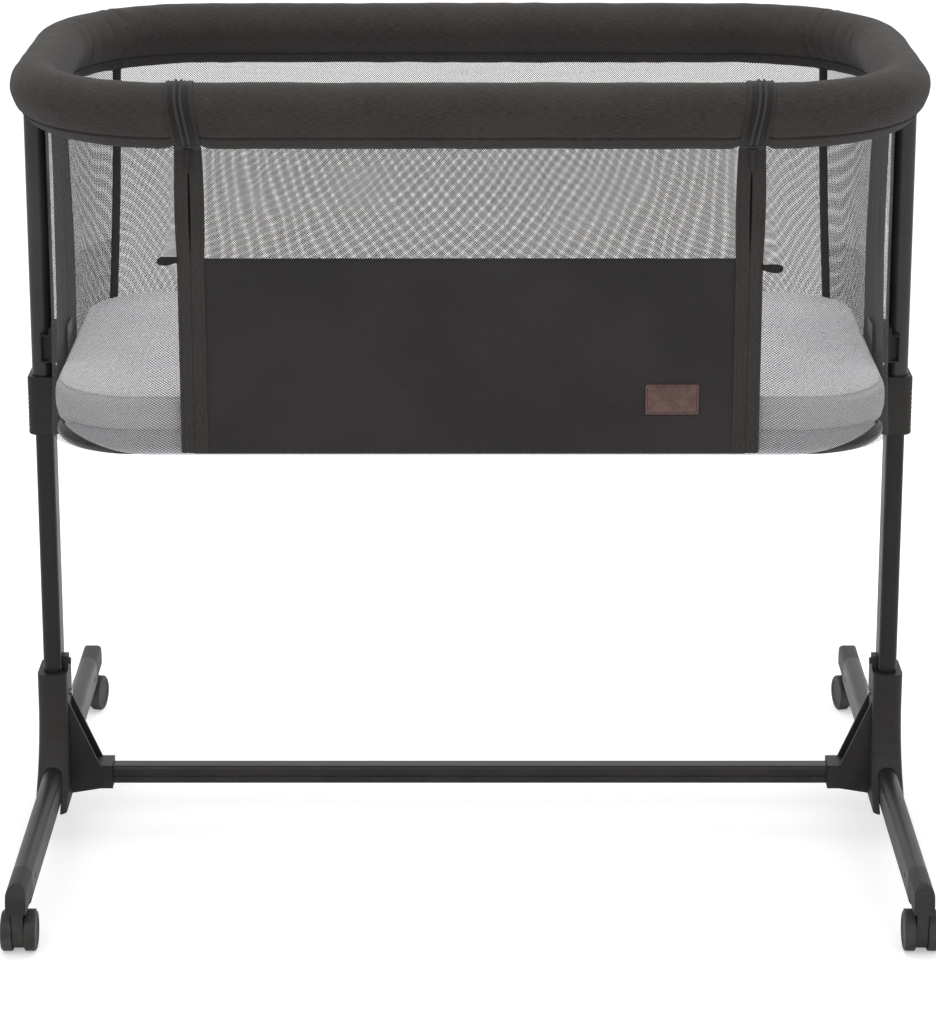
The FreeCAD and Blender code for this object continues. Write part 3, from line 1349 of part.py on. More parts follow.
board_size = float(s.board_inset)
board = rounded_prism(float(wall_bottom_length) - 2 * board_size,
                      float(wall_bottom_depth) - 2 * board_size,
                      float(s.wall_bottom_radius) - board_size, board_low, board_high)
nodes.append(solid_piece("base_frame_tube", base_ring_shape()))
nodes.append(solid_piece("base_board", board))
nodes.append(solid_piece("mattress", mattress_shape()))


# ---------------------------------------------------------------- checks and export

doc.recompute()
for item in doc.Objects:
    if "Invalid" in item.State or "Error" in item.State:
        raise ValueError(f"{item.Label} failed: {item.State}")
for node in nodes:
    if node.Shape.isNull() or not node.Shape.isValid() or not node.Shape.Solids:
        raise ValueError(f"{node.Label} has no sound solid")
for node in nodes:
    node.Shape.exportStep(f"parts/{node.Label}.step")
print(len(nodes), "pieces written")
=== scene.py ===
import bmesh
import bpy
import numpy as np
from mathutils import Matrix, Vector


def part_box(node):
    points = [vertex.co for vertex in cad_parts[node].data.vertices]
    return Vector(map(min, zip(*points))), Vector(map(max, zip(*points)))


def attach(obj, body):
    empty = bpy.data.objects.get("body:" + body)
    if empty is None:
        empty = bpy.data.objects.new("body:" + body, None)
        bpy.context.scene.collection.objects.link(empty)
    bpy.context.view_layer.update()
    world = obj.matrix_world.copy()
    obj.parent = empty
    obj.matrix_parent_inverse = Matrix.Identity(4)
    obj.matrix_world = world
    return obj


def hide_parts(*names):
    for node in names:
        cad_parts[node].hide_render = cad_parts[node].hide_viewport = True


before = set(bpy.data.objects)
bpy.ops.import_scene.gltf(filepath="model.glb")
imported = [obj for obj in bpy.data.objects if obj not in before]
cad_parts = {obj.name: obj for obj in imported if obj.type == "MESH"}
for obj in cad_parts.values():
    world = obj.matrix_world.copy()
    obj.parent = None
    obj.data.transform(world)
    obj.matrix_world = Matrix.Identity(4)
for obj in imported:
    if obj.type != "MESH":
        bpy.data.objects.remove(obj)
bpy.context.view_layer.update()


# ---- Steel tubes of the stand and the base frame ----
# Flat-oval and square steel tube, cut and bent, then powder-coated in a fine satin black. The
# lower legs slide inside the posts and carry faint draw marks; dust settles near the floor.

def colour(red, green, blue):
    """A colour written as 0 to 255 on screen, as the light it stands for."""
    share = np.array([red, green, blue]) / 255
    light = np.where(share < 0.04045, share / 12.92, ((share + 0.055) / 1.055) ** 2.4)
    return (*light.tolist(), 1.0)


def add_node(tree, kind, settings=None, **values):
    """Adds one shader node. settings are its own options; values go to the sockets of that
    name, with _ for a space, or by number as s0, s1. A socket given as a value is linked."""
    made = tree.nodes.new("ShaderNode" + kind)
    for option, value in (settings or {}).items():
        setattr(made, option, value)
    for name, value in values.items():
        numbered = name[0] == "s" and name[1:].isdigit()
        socket = made.inputs[int(name[1:]) if numbered else name.replace("_", " ")]
        if isinstance(value, bpy.types.NodeSocket):
            tree.links.new(value, socket)
        else:
            socket.default_value = value
    return made


def maths(tree, operation, *values):
    """The result of one Math node."""
    sockets = {f"s{place}": value for place, value in enumerate(values)}
    return add_node(tree, "Math", {"operation": operation}, **sockets).outputs[0]


def ease(tree, value, low, high, first=0.0, last=1.0):
    """value carried smoothly from low..high to first..last."""
    return add_node(tree, "MapRange", {"interpolation_type": "SMOOTHSTEP"}, Value=value,
                    From_Min=low, From_Max=high, To_Min=first, To_Max=last).outputs[0]


def tint(tree, share, first, second, way="MIX"):
    """Two colours mixed by a share from 0 to 1."""
    return add_node(tree, "Mix", {"data_type": "RGBA", "blend_type": way},
                    s0=share, s6=first, s7=second).outputs[2]


def noise(tree, place, scale, detail=2.0, **more):
    """Smooth random patches from 0 to 1."""
    return add_node(tree, "TexNoise", Vector=place, Scale=scale, Detail=detail,
                    **more).outputs[0]


def new_effect(name, given, results):
    """An effect that several finishes share: a group of nodes with named inputs and outputs."""
    tree = bpy.data.node_groups.new(name, "ShaderNodeTree")
    for label, kind, value in given:
        socket = tree.interface.new_socket(label, in_out="INPUT", socket_type="NodeSocket" + kind)
        if value is not None:
            socket.default_value = value
    for label in results:
        tree.interface.new_socket(label, in_out="OUTPUT", socket_type="NodeSocketFloat")
    inlet = tree.nodes.new("NodeGroupInput").outputs
    outlet = tree.nodes.new("NodeGroupOutput").inputs
    return tree, inlet, outlet


# Fine coating grain with slow changes of tone over a hand's width.
tree, inlet, outlet = new_effect(
    "coat_grain", [("Place", "Vector", None), ("Grain", "Float", 0.0007),
                   ("Patch", "Float", 0.09)], ["Height", "Tone"])
grain_scale = maths(tree, "DIVIDE", 1.0, inlet["Grain"])
patch_scale = maths(tree, "DIVIDE", 1.0, inlet["Patch"])
tree.links.new(noise(tree, inlet["Place"], grain_scale, 3.0), outlet["Height"])
patches = noise(tree, inlet["Place"], patch_scale, 3.0)
tree.links.new(ease(tree, patches, 0.3, 0.7), outlet["Tone"])
coat_grain = tree

# Light rub marks from hands and sliding, and dust that thins out above the floor.
tree, inlet, outlet = new_effect(
    "use_marks", [("Place", "Vector", None), ("Along", "Vector", (60.0, 60.0, 900.0)),
                  ("Reach", "Float", 0.12)], ["Rubs", "Dust"])
stretched = add_node(tree, "VectorMath", {"operation": "MULTIPLY"}, s0=inlet["Place"],
                     s1=inlet["Along"]).outputs[0]
streaks = ease(tree, noise(tree, stretched, 1.0, 3.0), 0.58, 0.74)
smudges = ease(tree, noise(tree, inlet["Place"], 16.0, 3.0), 0.46, 0.66)
tree.links.new(maths(tree, "MULTIPLY", streaks, smudges), outlet["Rubs"])
height = add_node(tree, "SeparateXYZ", Vector=inlet["Place"]).outputs[2]
low_down = ease(tree, height, 0.0, inlet["Reach"], 1.0, 0.0)
specks = ease(tree, noise(tree, inlet["Place"], 55.0, 5.0), 0.42, 0.7)
tree.links.new(maths(tree, "MULTIPLY", low_down, specks), outlet["Dust"])
use_marks = tree


def effect(tree, shared, **values):
    """The outputs of one use of a shared effect."""
    return add_node(tree, "Group", {"node_tree": shared}, **values).outputs


def plain_finish(name, roughness, gloss, **constants):
    """A new material: its node tree, and its shader with the constants set on it."""
    material = bpy.data.materials.new(name)
    material.use_nodes = True
    tree = material.node_tree
    shader = tree.nodes["Principled BSDF"]
    shader.inputs["Roughness"].default_value = roughness
    shader.inputs["Specular IOR Level"].default_value = gloss
    for socket, value in constants.items():
        shader.inputs[socket.replace("_", " ")].default_value = value
    return material, tree, shader


def surface(tree, shader, base, height, strength, depth):
    """Links a shader's colour and its bump, and returns the bump."""
    tree.links.new(base, shader.inputs["Base Color"])
    bump = add_node(tree, "Bump", Height=height, Strength=strength, Distance=depth)
    tree.links.new(bump.outputs[0], shader.inputs["Normal"])
    return bump


def hard_finish(name, dark, light, roughness, gloss, grain, depth, along=(60.0, 60.0, 900.0),
                rub=(104, 100, 96), reach=0.07, dust=0.1, **constants):
    """Coated metal or moulded plastic in two near tones. grain and depth are the bump's width
    and height; rub marks are stretched by along, and dust lies up to reach above the floor."""
    material, tree, shader = plain_finish(name, roughness, gloss, **constants)
    place = add_node(tree, "TexCoord").outputs["Object"]
    grained = effect(tree, coat_grain, Place=place, Grain=grain)
    marks = effect(tree, use_marks, Place=place, Along=along, Reach=reach)
    base = tint(tree, grained["Tone"], colour(*dark), colour(*light))
    base = tint(tree, maths(tree, "MULTIPLY", marks["Rubs"], 0.12), base, colour(*rub))
    base = tint(tree, maths(tree, "MULTIPLY", marks["Dust"], dust), base,
                colour(150, 146, 140))
    dulled = maths(tree, "MULTIPLY_ADD", grained["Tone"], 0.08, roughness - 0.04)
    dulled = maths(tree, "MULTIPLY_ADD", marks["Dust"], 0.12, dulled)
    tree.links.new(dulled, shader.inputs["Roughness"])
    surface(tree, shader, base, grained["Height"], 0.5, depth)
    return material


def dress(material, *names):
    """Gives CAD nodes a material."""
    for name in names:
        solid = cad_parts[name]
        solid.data.materials.clear()
        solid.data.materials.append(material)


def pair(*names):
    """The left and the right node of each name."""
    return [name + side for name in names for side in ("_left", "_right")]


powder_coat = hard_finish("powder_coat", (30, 28, 27), (40, 37, 36), 0.36, 0.32, 0.0009,
                          0.00008)
dress(powder_coat, "cross_bar", *pair("foot_tube", "base_hanger"))
# The posts take the same satin black coat in lighter tones: painted highlight for the light along
# the posts.
post_coat_painted_highlight = hard_finish("post_coat_painted_highlight", (46, 44, 43), (57, 55, 54), 0.32, 0.42, 0.0009, 0.00006)
dress(post_coat_painted_highlight, *pair("upper_post"))
leg_coat = hard_finish("leg_coat", (20, 19, 18), (28, 26, 25), 0.38, 0.32, 0.0009, 0.00008,
                       rub=(84, 81, 78))
dress(leg_coat, *pair("lower_leg"))
gloss_coat = hard_finish("gloss_coat", (18, 17, 17), (26, 25, 24), 0.16, 0.5, 0.002, 0.00004,
                         Coat_Weight=0.5, Coat_Roughness=0.08)
dress(gloss_coat, "base_frame_tube", "rim_tube", "front_rail_tube")


# ---- Moulded parts of the stand ----
# Injection-moulded black nylon with a fine spark-eroded texture: leg hubs, foot caps, height
# collars with their levers, basket brackets, saddles and buttons, all screwed or snapped on.

moulding = hard_finish("moulding", (33, 31, 30), (43, 41, 39), 0.5, 0.3, 0.00045, 0.00012)
dress(moulding, *pair("leg_hub", "foot_cap_front", "foot_cap_rear", "height_collar",
                      "basket_bracket", "rim_saddle"))
button_moulding = hard_finish("button_moulding", (44, 42, 41), (55, 53, 51), 0.42, 0.35,
                              0.0006, 0.00006)
dress(button_moulding, *pair("height_lever", "leg_lock_button", "basket_lock_button"))
screw_steel = hard_finish("screw_steel", (150, 150, 148), (176, 175, 172), 0.28, 0.5, 0.0012,
                          0.00003, rub=(90, 88, 84), Metallic=1.0)
dress(screw_steel, "hub_screws")


# ---- Casters ----
# Twin wheels of hard black plastic on a steel axle under a moulded hood, with a brake pedal on
# the two front ones. The treads are scuffed and dusty from the floor.

caster_hood = hard_finish("caster_hood", (34, 33, 32), (46, 44, 43), 0.42, 0.34, 0.0006,
                          0.00008)
wheel_plastic = hard_finish("wheel_plastic", (42, 41, 40), (56, 54, 52), 0.48, 0.3, 0.0008,
                            0.0001, rub=(120, 116, 110), reach=0.05, dust=0.16)
dress(caster_hood, *pair("caster_housing_front", "caster_housing_rear", "brake_pedal"))
dress(wheel_plastic, *pair("caster_wheels_front", "caster_wheels_rear"))


# ---- Padded rim cover ----
# A sewn sleeve of charcoal melange cloth over a foam roll on the rim tube. Its hem hangs below
# the roll and holds the top of the mesh; it has a seam at each rear corner and ends at the zips.

# The zips stand at zip_x. The rim cover and the walls begin at outer_x, the drop side ends at
# inner_x and its rail cover at rail_half.
zip_x, outer_x, inner_x, rail_half = 0.268, 0.2681, 0.2679, 0.2677


def basket_outline(half_length, half_depth, corner, turn):
    """A rounded rectangle seen from above. turn runs 0 to 1 along the front from the right-hand
    zip, 1 to 2 round the front corner, 2 to 3 along the end, 3 to 4 round the rear corner and 4
    to 5 to the middle of the rear; 5 to 10 is the left half, mirrored. Gives x, y and the
    outward direction."""
    turn = np.asarray(turn, float)
    half = np.where(turn > 5, 10 - turn, turn)
    side = np.where(turn > 5, -1.0, 1.0)
    run_x, run_y = half_length - corner, half_depth - corner
    angle = np.pi / 2 * (np.clip(half - 1, 0, 1) + np.clip(half - 3, 0, 1) - 1)
    middle_x = (run_x + (outer_x - run_x) * (1 - np.clip(half, 0, 1))
                - run_x * np.clip(half - 4, 0, 1))
    middle_y = run_y * (2 * np.clip(half - 2, 0, 1) - 1)
    out_x, out_y = np.cos(angle), np.sin(angle)
    return (side * (middle_x + corner * out_x), middle_y + corner * out_y, side * out_x, out_y)


def run_along(x, y):
    """How far along a line each of its points is."""
    return np.append(0, np.cumsum(np.hypot(np.diff(x), np.diff(y))))


def even_turns(first, last, spacing, half_length, half_depth, corner):
    """Turns that lie about spacing apart along an outline, and how far along each one is."""
    fine = np.linspace(first, last, 4001)
    run = run_along(*basket_outline(half_length, half_depth, corner, fine)[:2])
    along = np.linspace(0, run[-1], int(run[-1] / spacing) + 2)
    return np.interp(along, run, fine), along


def smooth_curve(points, count, closed=False):
    """count places on the Catmull-Rom cubics through the points, from the first point to the
    last, or round a closed curve."""
    points = np.asarray(points, float)
    total = len(points)
    if closed:
        place = np.arange(count) * total / count
        points = points[np.arange(-1, total + 2) % total]
    else:
        place = np.linspace(0, total - 1 - 1e-9, count)
        points = points[np.clip(np.arange(-1, total + 1), 0, total - 1)]
    first, share = place.astype(int), (place % 1)[:, None]
    a, b, c, d = (points[first + step] for step in range(4))
    return 0.5 * (2 * b + (c - a) * share + (2 * a - 5 * b + 4 * c - d) * share ** 2
                  + (3 * b - a - 3 * c + d) * share ** 3)


def unevenness(across, along, size, seed, waves=10):
    """Smooth hills and hollows from -1 to 1: the mean of plane waves about size long, in
    seeded directions."""
    chance = np.random.default_rng(seed)
    total = 0
    for _ in range(waves):
        angle, shift = chance.uniform(0, 2 * np.pi, 2)
        steps = 2 * np.pi / (size * chance.uniform(0.7, 1.6))
        total = total + np.sin(
            (across * np.cos(angle) + along * np.sin(angle)) * steps + shift)
    return total / waves * 1.6


def new_object(data):
    """Puts a mesh, a lamp or a camera into the scene, as an object of the same name."""
    made = bpy.data.objects.new(data.name, data)
    bpy.context.scene.collection.objects.link(made)
    return made


def new_piece(mesh, material):
    """A mesh in the scene, shaded smooth."""
    mesh.polygons.foreach_set("use_smooth", np.ones(len(mesh.polygons), bool))
    mesh.materials.append(material)
    return new_object(mesh)


def lattice(*parts):
    """Parts of a grid of points, such as x, y and z, put together."""
    return np.stack(np.broadcast_arrays(*parts), -1)


def cloth_grid(name, points, wear, material, flip=False):
    """A surface through points[row, column], each with its place on the cloth in metres as UV.
    Where wear has one column more, the last column joins the first. Seams and closed ends are
    welded."""
    rows, columns = points.shape[:2]
    wide = wear.shape[1]
    row, column = np.meshgrid(np.arange(rows - 1), np.arange(wide - 1), indexing="ij")
    corners = [(row, column), (row, column + 1), (row + 1, column + 1), (row + 1, column)]
    if flip:
        corners = corners[::-1]
    quads = np.stack([r * columns + c % columns for r, c in corners], -1).reshape(-1)
    places = np.stack([r * wide + c for r, c in corners], -1).reshape(-1)
    mesh = bpy.data.meshes.new(name)
    mesh.vertices.add(rows * columns)
    mesh.vertices.foreach_set("co", points.reshape(-1))
    mesh.loops.add(len(quads))
    mesh.loops.foreach_set("vertex_index", quads)
    mesh.polygons.add(len(quads) // 4)
    mesh.polygons.foreach_set("loop_start", np.arange(0, len(quads), 4))
    mesh.update(calc_edges=True)
    layer = mesh.uv_layers.new(name="cloth")
    layer.data.foreach_set("uv", wear.reshape(-1, 2)[places].reshape(-1))
    work = bmesh.new()
    work.from_mesh(mesh)
    bmesh.ops.remove_doubles(work, verts=work.verts, dist=1e-6)
    work.to_mesh(mesh)
    work.free()
    return new_piece(mesh, material)


# Plain weave: threads over and under on the cloth's own place, with thicker slubs along them.
tree, inlet, outlet = new_effect(
    "plain_weave", [("Place", "Vector", None), ("Thread", "Float", 0.0009),
                    ("Slub", "Float", 0.012)], ["Height", "Fleck", "Patch"])
across, upward, _ = add_node(tree, "SeparateXYZ", Vector=inlet["Place"]).outputs
warp, weft = (maths(tree, "DIVIDE", part, inlet["Thread"]) for part in (across, upward))
over = maths(tree, "MULTIPLY", *(maths(tree, "SINE", maths(tree, "MULTIPLY", part, 3.1416))
                                 for part in (warp, weft)))
stretched = add_node(tree, "CombineXYZ", X=maths(tree, "DIVIDE", across, inlet["Slub"]),
                     Y=weft).outputs[0]
slubs = noise(tree, stretched, 0.9, 3.0)
tree.links.new(maths(tree, "MULTIPLY_ADD", slubs, 1.6, maths(tree, "ABSOLUTE", over)),
               outlet["Height"])
tree.links.new(ease(tree, slubs, 0.36, 0.66), outlet["Fleck"])
tree.links.new(ease(tree, noise(tree, inlet["Place"], 9.0, 3.0), 0.34, 0.66), outlet["Patch"])
plain_weave = tree


def cloth_place(tree):
    """The place on the cloth, in metres."""
    return add_node(tree, "UVMap", {"uv_map": "cloth"}).outputs[0]


def woven_finish(name, dark, light, fleck, thread, slub, depth, roughness=0.88, sheen=0.08):
    """Woven cloth: a dark and a light thread, flecks along the slubs and slow fading. thread,
    slub and depth are lengths: the thread's width, the slub's reach and the bump's height."""
    material, tree, shader = plain_finish(name, roughness, 0.12, Sheen_Weight=sheen,
                                          Sheen_Roughness=0.5)
    weave = effect(tree, plain_weave, Place=cloth_place(tree), Thread=thread, Slub=slub)
    base = tint(tree, weave["Fleck"], colour(*dark), colour(*light))
    base = tint(tree, maths(tree, "MULTIPLY", weave["Patch"], 0.3), base, colour(*fleck))
    surface(tree, shader, base, weave["Height"], 0.7, depth)
    return material


rim_half_length, rim_half_depth, rim_corner, rim_level = 0.427, 0.234, 0.150, 0.818
rim_outline = (rim_half_length, rim_half_depth, rim_corner)
rim_cloth = woven_finish("rim_cloth", (47, 45, 44), (63, 60, 58), (66, 62, 59), 0.0007, 0.006,
                         0.00014)
# The section of the padded roll and its hem, outward and upward of the tube's middle, in mm.
roll_section = [(26, 0), (24.2, 9.5), (18.4, 18.4), (9.5, 24.2), (0, 25.9), (-9.5, 24.2),
                (-18.2, 18.2), (-24, 9.5), (-26, 0), (-24.8, -8), (-21.6, -15), (-17.2, -21),
                (-13.6, -25.4), (-11.6, -30), (-10.6, -34.2), (-8.2, -36.8), (-3, -37.8),
                (2, -36.8), (7.2, -33.6), (11.6, -29.4), (14.4, -26.2), (14.2, -24.0),
                (18.6, -20.6), (22.2, -14.8), (25.2, -7.2)]
roll = smooth_curve(roll_section, 84, closed=True) / 1000
around = np.append(0, np.cumsum(np.hypot(*(np.roll(roll, -1, 0) - roll).T)))


def zip_lean(x, y, z):
    """How far the zip line leans outwards as it runs up over the rim: a smooth step of 7 mm
    from the hem to the top, which dies away 60 mm from the zip."""
    share = np.clip((z - 0.790) / 0.05, 0, 1)
    near = (y < 0) * np.exp(-((np.abs(x) - zip_x) / 0.035) ** 2)
    return np.sign(x) * 0.007 * share * share * (3 - 2 * share) * near


def zip_room(x, y, rise):
    """How far the hem is drawn up over 15 mm each side of a zip, so that the pull can swing: a
    quarter of its depth below 20 mm under the tube's middle."""
    near = (y < 0) / (1 + ((np.abs(x) - zip_x) / 0.015) ** 8)
    return 0.26 * np.maximum(0, -0.020 - rise) * near


def padded_roll(name, x, y, out_x, out_y, along, swell):
    """The roll's section carried along a path seen from above: each place is the path's point,
    plus the section's outward part times the outward direction, plus its upward part. swell
    moves it along the section's own normal. Three rings close each end flat."""
    slope = np.roll(roll, -1, 0) - np.roll(roll, 1, 0)
    facing = lattice(slope[:, 1], -slope[:, 0]) / np.hypot(*slope.T)[:, None]
    section = roll[None] + swell[..., None] * facing[None]
    points = lattice(x[:, None] + section[..., 0] * out_x[:, None],
                     y[:, None] + section[..., 0] * out_y[:, None], rim_level + section[..., 1])
    points[..., 0] += zip_lean(points[..., 0], points[..., 1], points[..., 2])
    points[..., 2] += zip_room(points[..., 0], points[..., 1], points[..., 2] - rim_level)
    wear = lattice(along[:, None], around[None])
    for _ in range(2):
        middle = points[0].mean(0)
        lids = [middle + (points[0] - middle) * share for share in (0, 0.5, 0.97)]
        points = np.concatenate([lids, points])[::-1]
        wear = np.concatenate([[wear[0]] * 3, wear])[::-1]
    return cloth_grid(name, points, wear, rim_cloth, flip=True)


turns, along = even_turns(0, 10, 0.0035, *rim_outline)
x, y, out_x, out_y = basket_outline(*rim_outline, turns)
half = np.where(turns > 5, 10 - turns, turns)[:, None]
around_here = around[:-1][None]
# Soft swells everywhere, and short creases on the inner face of the four corners.
inner_face = np.exp(-((roll[:, 0] + 0.024) / 0.012) ** 2)[None]
bend = np.exp(-((half - 1.5) / 0.45) ** 2) + np.exp(-((half - 3.5) / 0.45) ** 2)
creases = np.maximum(0, unevenness(along[:, None], around_here * 0.25, 0.016, 3)) ** 1.5
swell = (0.0005 * unevenness(along[:, None], around_here, 0.07, 1)
         + 0.0003 * unevenness(along[:, None], around_here, 0.022, 2)
         - 0.0028 * inner_face * bend * creases)
rear_corners = (3.5, 6.5)
for seam in np.interp(rear_corners, turns, along):
    swell = swell - 0.0016 * np.exp(-((along[:, None] - seam) / 0.0016) ** 2)
    swell = swell + 0.0006 * np.exp(-((np.abs(along[:, None] - seam) - 0.006) / 0.003) ** 2)
rim_cover = padded_roll("rim_cover", x, y, out_x, out_y, along, swell)
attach(rim_cover, "basket")
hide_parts("rim_sleeve")


def stitch_row(name, places, ways, facings, length, thick, material):
    """A row of stitches: each is a bead of five rings of six places, with the ring's radius
    thick/2 times a half ellipse of its place along the stitch."""
    ways = ways / np.linalg.norm(ways, axis=1)[:, None]
    side = np.cross(ways, facings)
    side = side / np.linalg.norm(side, axis=1)[:, None]
    share = np.array([-1, -0.75, 0, 0.75, 1])
    wide = thick / 2 * np.sqrt(1 - (share * 0.97) ** 2)
    angle = np.arange(6) * np.pi / 3
    ring_side, ring_out = np.outer(wide, np.cos(angle)), np.outer(wide, np.sin(angle))
    points = (places[:, None, None] + ways[:, None, None] * (share * length / 2)[:, None, None]
              + side[:, None, None] * ring_side[..., None]
              + facings[:, None, None] * ring_out[..., None])
    stitch, ring, spot = np.meshgrid(np.arange(len(places)), np.arange(4), np.arange(6),
                                     indexing="ij")
    quads = np.stack([(stitch * 5 + ring + up) * 6 + (spot + on) % 6
                      for up, on in ((0, 0), (0, 1), (1, 1), (1, 0))], -1).reshape(-1, 4)
    mesh = bpy.data.meshes.new(name)
    mesh.from_pydata(points.reshape(-1, 3).tolist(), [], quads.tolist())
    return new_piece(mesh, material)


# Where the fold between roll and hem is, outward and down from the tube's middle.
stitch_out, stitch_down = 0.0149, 0.0251


def hem_stitches(name, x, y, out_x, out_y):
    """Stitches in the fold between roll and hem, along a path seen from above."""
    places = lattice(x + stitch_out * out_x, y + stitch_out * out_y, rim_level - stitch_down)
    places[:, 0] += zip_lean(places[:, 0], places[:, 1], places[:, 2])
    places[:, 2] += zip_room(places[:, 0], places[:, 1], places[:, 2] - rim_level)
    ways = lattice(-out_y, out_x, 0)
    facings = lattice(0.93 * out_x, 0.93 * out_y, -0.37)
    return stitch_row(name, places, ways, facings, 0.0030, 0.0008, thread)


thread = plain_finish("thread", 0.7, 0.2, Base_Color=colour(36, 34, 33), Sheen_Weight=0.1)[0]
spots, _ = even_turns(0.04, 9.96, 0.0042, *(size + stitch_out for size in rim_outline))
stitches = hem_stitches("rim_stitches", *basket_outline(*rim_outline, spots))
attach(stitches, "basket")

# A thin piping runs round the inside of the hem, at the foot of the roll.
turns, along = even_turns(0.03, 9.97, 0.004, *rim_outline)
x, y, out_x, out_y = basket_outline(*rim_outline, turns)
angle = np.linspace(0, 2 * np.pi, 9)[None, :-1]
beads = 0.0011 + 0.00015 * np.sin(along * 2 * np.pi / 0.012)[:, None]
inward = -0.0132 + beads * np.cos(angle)
points = lattice(x[:, None] + inward * out_x[:, None], y[:, None] + inward * out_y[:, None],
                 rim_level - 0.0268 + beads * np.sin(angle))
wear = lattice(along[:, None], np.linspace(0, 0.007, 9)[None])
piping = cloth_grid("rim_piping", points, wear, thread)
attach(piping, "basket")


# ---- Padded rail cover of the drop side ----
# The same sleeve over the straight rail between the zips. It meets the rim cover edge to edge
# and folds down with the side.

rail_x = np.linspace(-rail_half, rail_half, 156)
along = rail_x + rail_half
swell = (0.0005 * unevenness(along[:, None], around_here, 0.07, 4)
         + 0.0003 * unevenness(along[:, None], around_here, 0.022, 5))
rail_cover = padded_roll("rail_cover", -rail_x, 0 * rail_x - rim_half_depth, 0 * rail_x,
                         0 * rail_x - 1, along, swell)
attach(rail_cover, "front_side")
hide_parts("front_rail_sleeve")
spots = np.linspace(-0.2655, 0.2655, 127)
stitches = hem_stitches("rail_stitches", spots, 0 * spots - rim_half_depth, 0 * spots,
                        0 * spots - 1)
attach(stitches, "front_side")


# ---- Mesh walls ----
# Stretched polyester net with staggered diamond holes, sewn to a dark cloth strip over each
# leg bracket and to a denser band round the foot of the ends. The cut follows the basket.

foot_outline, head_outline = (0.418, 0.218, 0.090), (0.419, 0.226, 0.142)
foot_level, head_level = 0.4745, 0.7925

# Net: threads along both diagonals of a square pattern leave diamond holes between.
tree, inlet, outlet = new_effect(
    "open_net", [("Place", "Vector", None), ("Pitch", "Float", 0.0025),
                 ("Hole", "Float", 0.36)], ["Solid", "Height"])
across, upward, _ = add_node(tree, "SeparateXYZ", Vector=inlet["Place"]).outputs
right, rising = (maths(tree, "DIVIDE", part, inlet["Pitch"]) for part in (across, upward))
threads = []
for way in ("ADD", "SUBTRACT"):
    wave = maths(tree, "FRACT", maths(tree, way, right, rising))
    threads.append(maths(tree, "ABSOLUTE", maths(tree, "SUBTRACT", wave, 0.5)))
wall = maths(tree, "MAXIMUM", *threads)
tree.links.new(maths(tree, "GREATER_THAN", wall, inlet["Hole"]), outlet["Solid"])
tree.links.new(ease(tree, wall, inlet["Hole"], 0.5), outlet["Height"])
open_net = tree


def net_finish(name, hole=0.36, pitch=0.0025, strip=None, band=None):
    """Net whose holes are really open, by alpha. hole is half a hole's width in pitches, so
    0.5 leaves no thread. strip is the half width of the cloth strip at the bracket, and band
    the height of the denser band behind it, where the net is also drawn closer."""
    material, tree, shader = plain_finish(name, 0.7, 0.2, Sheen_Weight=0.1)
    place = cloth_place(tree)
    pulled = add_node(tree, "TexNoise", Vector=place, Scale=11.0, Detail=1.0).outputs["Color"]
    pulled = add_node(tree, "VectorMath", {"operation": "SUBTRACT"}, s0=pulled,
                      s1=(0.5, 0.5, 0.5)).outputs[0]
    pulled = add_node(tree, "VectorMath", {"operation": "MULTIPLY_ADD"}, s0=pulled,
                      s1=(0.0013, 0.0013, 0.0), s2=place).outputs[0]
    if strip:
        sideways, upward, _ = add_node(tree, "SeparateXYZ", Vector=place).outputs
        behind = maths(tree, "GREATER_THAN", sideways, 0.0)
        drawn = maths(tree, "MULTIPLY", behind, ease(tree, sideways, 0.11, 0.27, 0.09, 0.0))
        hole = maths(tree, "SUBTRACT", hole, drawn)
    net = effect(tree, open_net, Place=pulled, Hole=hole, Pitch=pitch)
    patches = ease(tree, noise(tree, place, 14.0, 3.0), 0.35, 0.65)
    base = tint(tree, patches, colour(34, 32, 31), colour(46, 43, 42))
    solid = net["Solid"]
    if strip:
        in_strip = maths(tree, "LESS_THAN", maths(tree, "ABSOLUTE", sideways), strip)
        dense = effect(tree, open_net, Place=place, Pitch=0.0016, Hole=0.43)
        in_band = maths(tree, "MULTIPLY", maths(tree, "LESS_THAN", upward, band), behind)
        dense_part = maths(tree, "MULTIPLY", in_band, dense["Solid"])
        solid = maths(tree, "MAXIMUM", solid, maths(tree, "MAXIMUM", in_strip, dense_part))
        weave = effect(tree, plain_weave, Place=place, Thread=0.0008, Slub=0.008)
        cloth = tint(tree, weave["Fleck"], colour(28, 27, 26), colour(43, 41, 39))
        base = tint(tree, in_strip, base, cloth)
    tree.links.new(solid, shader.inputs["Alpha"])
    surface(tree, shader, base, net["Height"], 0.6, 0.0003)
    return material


def basket_wall(name, material, x_foot, y_foot, x_head, y_head, low, high, rows, bow, zero,
                sense=1):
    """A stretched wall: straight lines from the foot outline to the head outline, drawn in by
    bow times the sine of the height, with long soft pulls, and finer ones where it is drawn in
    by more than 2 mm. UV runs from zero along the middle line, and up the wall. Gives the
    wall and its flat size."""
    share = np.linspace(0, 1, rows)[:, None]
    level = low + (high - low) * share
    up = (level - foot_level) / (head_level - foot_level)
    x = x_foot + (x_head - x_foot) * up
    y = y_foot + (y_head - y_foot) * up
    run = run_along((x_foot + x_head) / 2, (y_foot + y_head) / 2)
    far = np.hypot(x, y)
    pull = 0.0007 * unevenness(run[None], level * 0.35, 0.05, 7) * np.sin(np.pi * up)
    if bow > 0.002:
        pull = pull + 0.0008 * unevenness(run[None], level * 0.15, 0.03, 8) * np.sin(np.pi * up)
    inward = (bow * np.sin(np.pi * up) + pull) / far
    points = lattice(x * (1 - inward), y * (1 - inward), level)
    wear = lattice(sense * (run[None] - zero), level - foot_level)
    flat = (round(run[-1], 3), round(high - low, 3))
    return cloth_grid(name, points, wear, material), flat


